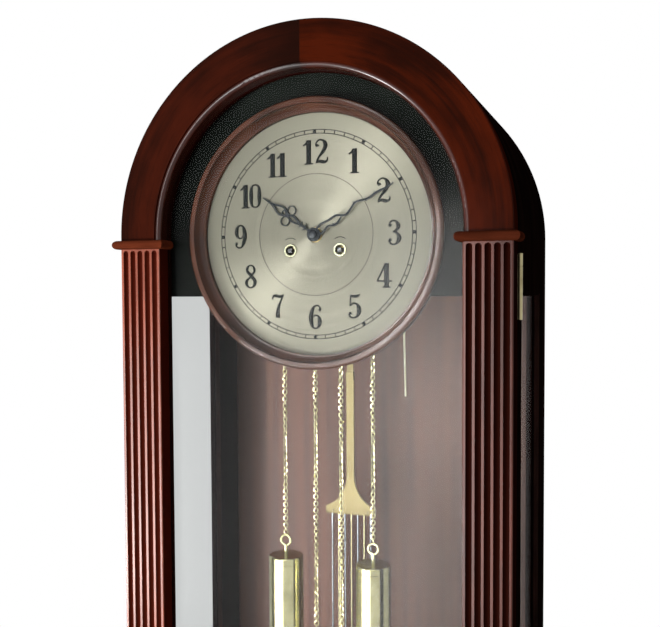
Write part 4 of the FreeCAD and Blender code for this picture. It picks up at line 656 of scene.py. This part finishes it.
# The movement: brass plates and wheels between turned pillars, with steel arbors, and a gong.
# It stands behind the dial and is seen through the side windows.
bright_movement = (0.62, 0.5, 0.24, 1.0)
dull_movement = (0.5, 0.38, 0.17, 1.0)
movement_brass = brass("brass_movement", bright_movement, dull_movement, 0.26, (60.0, 60.0, 900.0))
dress(movement_brass, "movement_frame", "centre_wheel", "minute_wheel", "hour_wheel", "slow_wheel", "great_wheel")
dress(movement_brass, "third_wheel", "escape_wheel", "strike_great_wheel", "pin_wheel", "fly", "hammers")
dress(movement_brass, "sprocket_left", "sprocket_right")


def steel(name, dark, light, roughness):
    """Steel with the fine marks that turning leaves round it."""

    def shade(place):
        turned = place.noise((1200.0, 60.0, 1200.0), 2.0)
        return {
            "Base Color": turned.tint(dark, light),
            "Metallic": 1.0,
            "Roughness": turned * 0.14 + roughness,
            "Normal": turned.bump(0.06, 0.0002),
        }

    return material(name, shade)


dress(steel("steel_turned", (0.42, 0.42, 0.42, 1.0), (0.56, 0.56, 0.55, 1.0), 0.2), "anchor")
dress(steel("steel_oiled", (0.05, 0.052, 0.055, 1.0), (0.11, 0.11, 0.11, 1.0), 0.3), "winder_left", "winder_right")
dress(brass("brass_gong", (0.5, 0.46, 0.32, 1.0), (0.34, 0.31, 0.2, 1.0), 0.26, (900.0, 900.0, 30.0)), "gong")


# The chains: oval links of brass wire, each at right angles to the next, with a slow twist.
# A strand runs down to each weight, and the other goes over the sprocket to a pull ring.
link_wire = 0.00082
link_radius = 0.00235
link_pitch = 0.00425
link_steps = 10
wire_sides = 5
wire_roll = 0.3
link_turn = math.pi / 2 + 0.06
sway_turn = 0.5
sway_rate = 11.0
start_rate = 40
# The chain brass's near-black patches are painted shade, standing in for the shadow between the links.
chain_brass_shade_patches = brass("brass_chain_shade_patches", (0.92, 0.87, 0.58, 1.0), (0.16, 0.13, 0.05, 1.0), 0.14, (650.0, 650.0, 650.0))
dress(chain_brass_shade_patches, "chain_ring_left", "chain_ring_right")


def one_link():
    """A link round the origin, upright in the XZ plane."""
    made = bmesh.new()
    middle = Matrix.Translation((link_radius, 0, 0))
    bmesh.ops.create_circle(made, segments=wire_sides, radius=link_wire, matrix=middle)
    section = made.verts[:] + made.edges[:]
    bmesh.ops.rotate(made, cent=(link_radius, 0, 0), matrix=Matrix.Rotation(wire_roll, 3, "Z"), verts=made.verts)
    bmesh.ops.spin(
        made, geom=section, cent=(0, 0, 0), axis=(0, 1, 0), angle=2 * math.pi, steps=link_steps, use_merge=True
    )
    bmesh.ops.remove_doubles(made, verts=made.verts, dist=1e-6)
    stretch = link_pitch / 2 - link_radius + link_wire
    for vert in made.verts:
        vert.co.z += math.copysign(stretch, vert.co.z)
    bmesh.ops.recalc_face_normals(made, faces=made.faces)
    shape = bpy.data.meshes.new("link")
    made.to_mesh(shape)
    made.free()
    return shape


link_shape = one_link()


def add_link(chain, index, centre, lean=0.0):
    """One more link, turned from the last by a little over a quarter and leaned along the bend."""
    sway = sway_turn * math.sin(index * link_pitch * sway_rate)
    twist = index * link_turn + sway + centre.x * start_rate
    first = len(chain.verts)
    chain.from_mesh(link_shape)
    chain.verts.ensure_lookup_table()
    turned = Matrix.Translation(centre) @ Matrix.Rotation(lean, 4, "Y") @ Matrix.Rotation(twist, 4, "Z")
    bmesh.ops.transform(chain, matrix=turned, verts=chain.verts[first:])


def hang_links(chain, top, run):
    """Links straight down from a place, as many as fit the run best."""
    count = round(run / link_pitch)
    for index in range(count):
        add_link(chain, index, Vector((top.x, top.y, top.z - (index + 0.5) * run / count)))


for side, name in ((-1, "left"), (1, "right")):
    low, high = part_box(f"chain_{name}_weight")
    middle = (low + high) / 2
    strand = bmesh.new()
    hang_links(strand, Vector((middle.x, middle.y, high.z)), high.z - low.z)
    made = piece(strand, f"weight_chain_{name}", chain_brass_shade_patches, None)
    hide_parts(f"chain_{name}_weight")
    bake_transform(made)

    free_low, free_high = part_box(f"chain_{name}_free")
    half = (high.x - low.x) / 2
    inner_x = (free_low.x + half) if side > 0 else (free_high.x - half)
    bend = abs(middle.x - inner_x) / 2
    bend_middle = Vector(((middle.x + inner_x) / 2, middle.y, high.z))
    free = bmesh.new()
    hang_links(free, Vector((inner_x, middle.y, high.z)), high.z - free_low.z)
    around = round(math.pi * bend / link_pitch)
    for index in range(around):
        turn = (index + 0.5) * math.pi / around
        spot = bend_middle + Vector((math.cos(turn), 0, math.sin(turn))) * bend
        add_link(free, index, spot, math.pi - turn)
    made = piece(free, f"free_chain_{name}", chain_brass_shade_patches, None)
    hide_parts(f"chain_{name}_free")
    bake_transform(made)


# The weights: drawn brass tubes with rolled caps, each on a hook at the end of its chain.
# They are polished along their length to a mirror and then lacquered.
weight_brass = brass("brass_weights", (0.56, 0.53, 0.31, 1.0), (0.2, 0.18, 0.08, 1.0), 0.1, (200.0, 200.0, 2.0))
dress(weight_brass, "weight_left", "weight_right")


# The pendulum: a stick of satin brass plate that flares to hold seven rods, and a lens-shaped bob.
# The plate is stamped, brushed along its length and lacquered, and so is paler than the chains.
bright_plate = (0.165, 0.135, 0.068, 1.0)
dull_plate = (0.132, 0.106, 0.052, 1.0)
plate_brass = brass("brass_plate", bright_plate, dull_plate, 0.42, (900.0, 900.0, 25.0))
bob_brass = brass("brass_bob", (0.5, 0.42, 0.22, 1.0), (0.4, 0.32, 0.15, 1.0), 0.2, (12.0, 900.0, 12.0))
rod_pitch = 0.0088
middle_count = 20.5


def paired_rods(place):
    """Brass and steel rods in turn, told apart by a count that steps halfway between two rods."""
    rod = (place.part(0) * (1 / rod_pitch) + middle_count).math("MODULO", 2.0)
    mark = place.noise((900.0, 900.0, 20.0), 2.0)
    return {
        "Base Color": rod.math("GREATER_THAN", 1.0).tint((0.5, 0.44, 0.27, 1.0), (0.3, 0.31, 0.33, 1.0)),
        "Metallic": 1.0,
        "Roughness": mark * 0.1 + 0.2,
        "Normal": mark.bump(0.05, 0.0002),
    }


dress(plate_brass, "pendulum_stick", "pendulum_leader")
dress(material("pendulum_rods", paired_rods), "pendulum_rods")
dress(bob_brass, "pendulum_bob")
dress(fitting_brass, "rating_nut")
pin_radius = 0.0013
pin_end = pin_radius * 0.6
pin_proud = 0.0006
pin_apart = 0.0476
pin_place = Vector((0.0, 0.03075, 1.431))
pins = bmesh.new()
for side in (-0.5, 0.5):
    place = Matrix.Translation(pin_place + Vector((side * pin_apart, 0, 0))) @ Matrix.Rotation(math.pi / 2, 4, "X")
    bmesh.ops.create_cone(
        pins, cap_ends=True, segments=20, radius1=pin_radius, radius2=pin_end, depth=pin_proud * 2, matrix=place
    )
bmesh.ops.recalc_face_normals(pins, faces=pins.faces)
piece(pins, "plate_pins", hand_finish, "pendulum")


# The room: a pale floor that turns white with distance, and an even white surround.
# Soft lamps stand low and to the left, and the door's glass shows them as its grey haze.
floor_half = 9.0
white_from = 0.9
white_full = 2.6
dim_light = 0.28


def looked_at(tree):
    """At least 1 for rays from the camera, off a mirror or through glass, and 0 for those that light a surface."""
    path = tree.nodes.new("ShaderNodeLightPath").outputs
    return Signal(path["Is Camera Ray"]) + Signal(path["Is Glossy Ray"]) + Signal(path["Is Transmission Ray"])


def floor_paint():
    """Matt paint that gives way to plain white far from the clock, so that the floor has no edge."""
    made = bpy.data.materials.new("floor")
    made.use_nodes = True
    tree = made.node_tree
    shader = tree.nodes["Principled BSDF"]
    shader.inputs["Base Color"].default_value = (0.8, 0.8, 0.79, 1.0)
    shader.inputs["Roughness"].default_value = 0.7
    place = Signal(tree.nodes.new("ShaderNodeTexCoord").outputs["Object"])
    far = place.node("VectorMath", {"operation": "LENGTH"}, {0: place}, 1).eased(white_from, white_full)
    share = (far * looked_at(tree)).math("MINIMUM", 1.0)
    white = place.node("Emission", {}, {"Color": (1.0, 1.0, 1.0, 1.0), "Strength": 1.0})
    mixed = place.node("MixShader", {}, {0: share, 1: Signal(shader.outputs[0]), 2: white})
    tree.links.new(mixed.socket, tree.nodes["Material Output"].inputs["Surface"])
    return made


ground = bmesh.new()
bmesh.ops.create_grid(ground, x_segments=1, y_segments=1, size=floor_half)
ground_mesh = bpy.data.meshes.new("floor")
ground.to_mesh(ground_mesh)
ground.free()
ground_mesh.materials.append(floor_paint())
floor = bpy.data.objects.new("floor", ground_mesh)
bpy.context.scene.collection.objects.link(floor)

world = bpy.data.worlds.new("room")
bpy.context.scene.world = world
world.use_nodes = True
tree = world.node_tree
room = tree.nodes["Background"]
room.inputs["Color"].default_value = (1.0, 1.0, 1.0, 1.0)
room.inputs["Strength"].default_value = dim_light
seen = looked_at(tree).math("MINIMUM", 1.0)
white = seen.node("Background", {}, {"Color": (1.0, 1.0, 1.0, 1.0), "Strength": 1.0})
mixed = seen.node("MixShader", {}, {0: seen, 1: Signal(room.outputs[0]), 2: white})
tree.links.new(mixed.socket, tree.nodes["World Output"].inputs["Surface"])


def lamp(name, place, aim, wide, high, power):
    """A rectangular soft lamp that faces a point of the clock."""
    light = bpy.data.lights.new(name, "AREA")
    light.shape = "RECTANGLE"
    light.size = wide
    light.size_y = high
    light.energy = power
    made = bpy.data.objects.new(name, light)
    made.location = place
    made.rotation_euler = (Vector(aim) - Vector(place)).to_track_quat("-Z", "Y").to_euler()
    bpy.context.scene.collection.objects.link(made)


lamp("lamp_above", (0.3, -2.1, 3.9), (0.0, -0.1, 1.7), 1.2, 1.2, 25.0)
lamp("lamp_left", (-1.62, -2.15, 0.95), (0.0, -0.1, 1.5), 0.5, 1.15, 16.0)
lamp("lamp_side", (-2.0, -1.98, 0.6), (0.0, -0.1, 1.7), 0.6, 0.5, 76.0)
lamp("lamp_low", (-0.6, -2.12, 1.1), (0.0, -0.1, 1.4), 0.85, 1.25, 15.5)
lamp("lamp_front", (-0.34, -2.05, 1.25), (0.0, -0.1, 1.4), 0.4, 1.5, 16.0)


# The camera: it stands to the right of the clock at the height of the dial, as the photograph does.
# The optical axis lies 12 pixels below the middle of the 660 by 627 picture.
eye = Vector((0.363322, -1.024561, 1.720956))
yaw = 0.35456759
pitch = -0.04144201
roll = -0.00480874
picture_wide = 660
lens_pixels = 859.284
axis_shift_pixels = 12
ahead = Vector((-math.sin(yaw) * math.cos(pitch), math.cos(yaw) * math.cos(pitch), math.sin(pitch)))
right = Vector((math.cos(yaw), math.sin(yaw), 0.0))
above = right.cross(ahead)
right_rolled = right * math.cos(roll) + above * math.sin(roll)
above_rolled = above * math.cos(roll) - right * math.sin(roll)
view_data = bpy.data.cameras.new("camera")
view_data.sensor_fit = "HORIZONTAL"
view_data.sensor_width = 36.0
view_data.lens = view_data.sensor_width * lens_pixels / picture_wide
view_data.shift_y = axis_shift_pixels / picture_wide
view_data.clip_start = 0.05
view_data.clip_end = 50.0
camera = bpy.data.objects.new("camera", view_data)
camera.matrix_world = Matrix.Translation(eye) @ Matrix((right_rolled, above_rolled, -ahead)).transposed().to_4x4()
bpy.context.scene.collection.objects.link(camera)
bpy.context.scene.camera = camera
bpy.context.scene.view_settings.view_transform = "Standard"
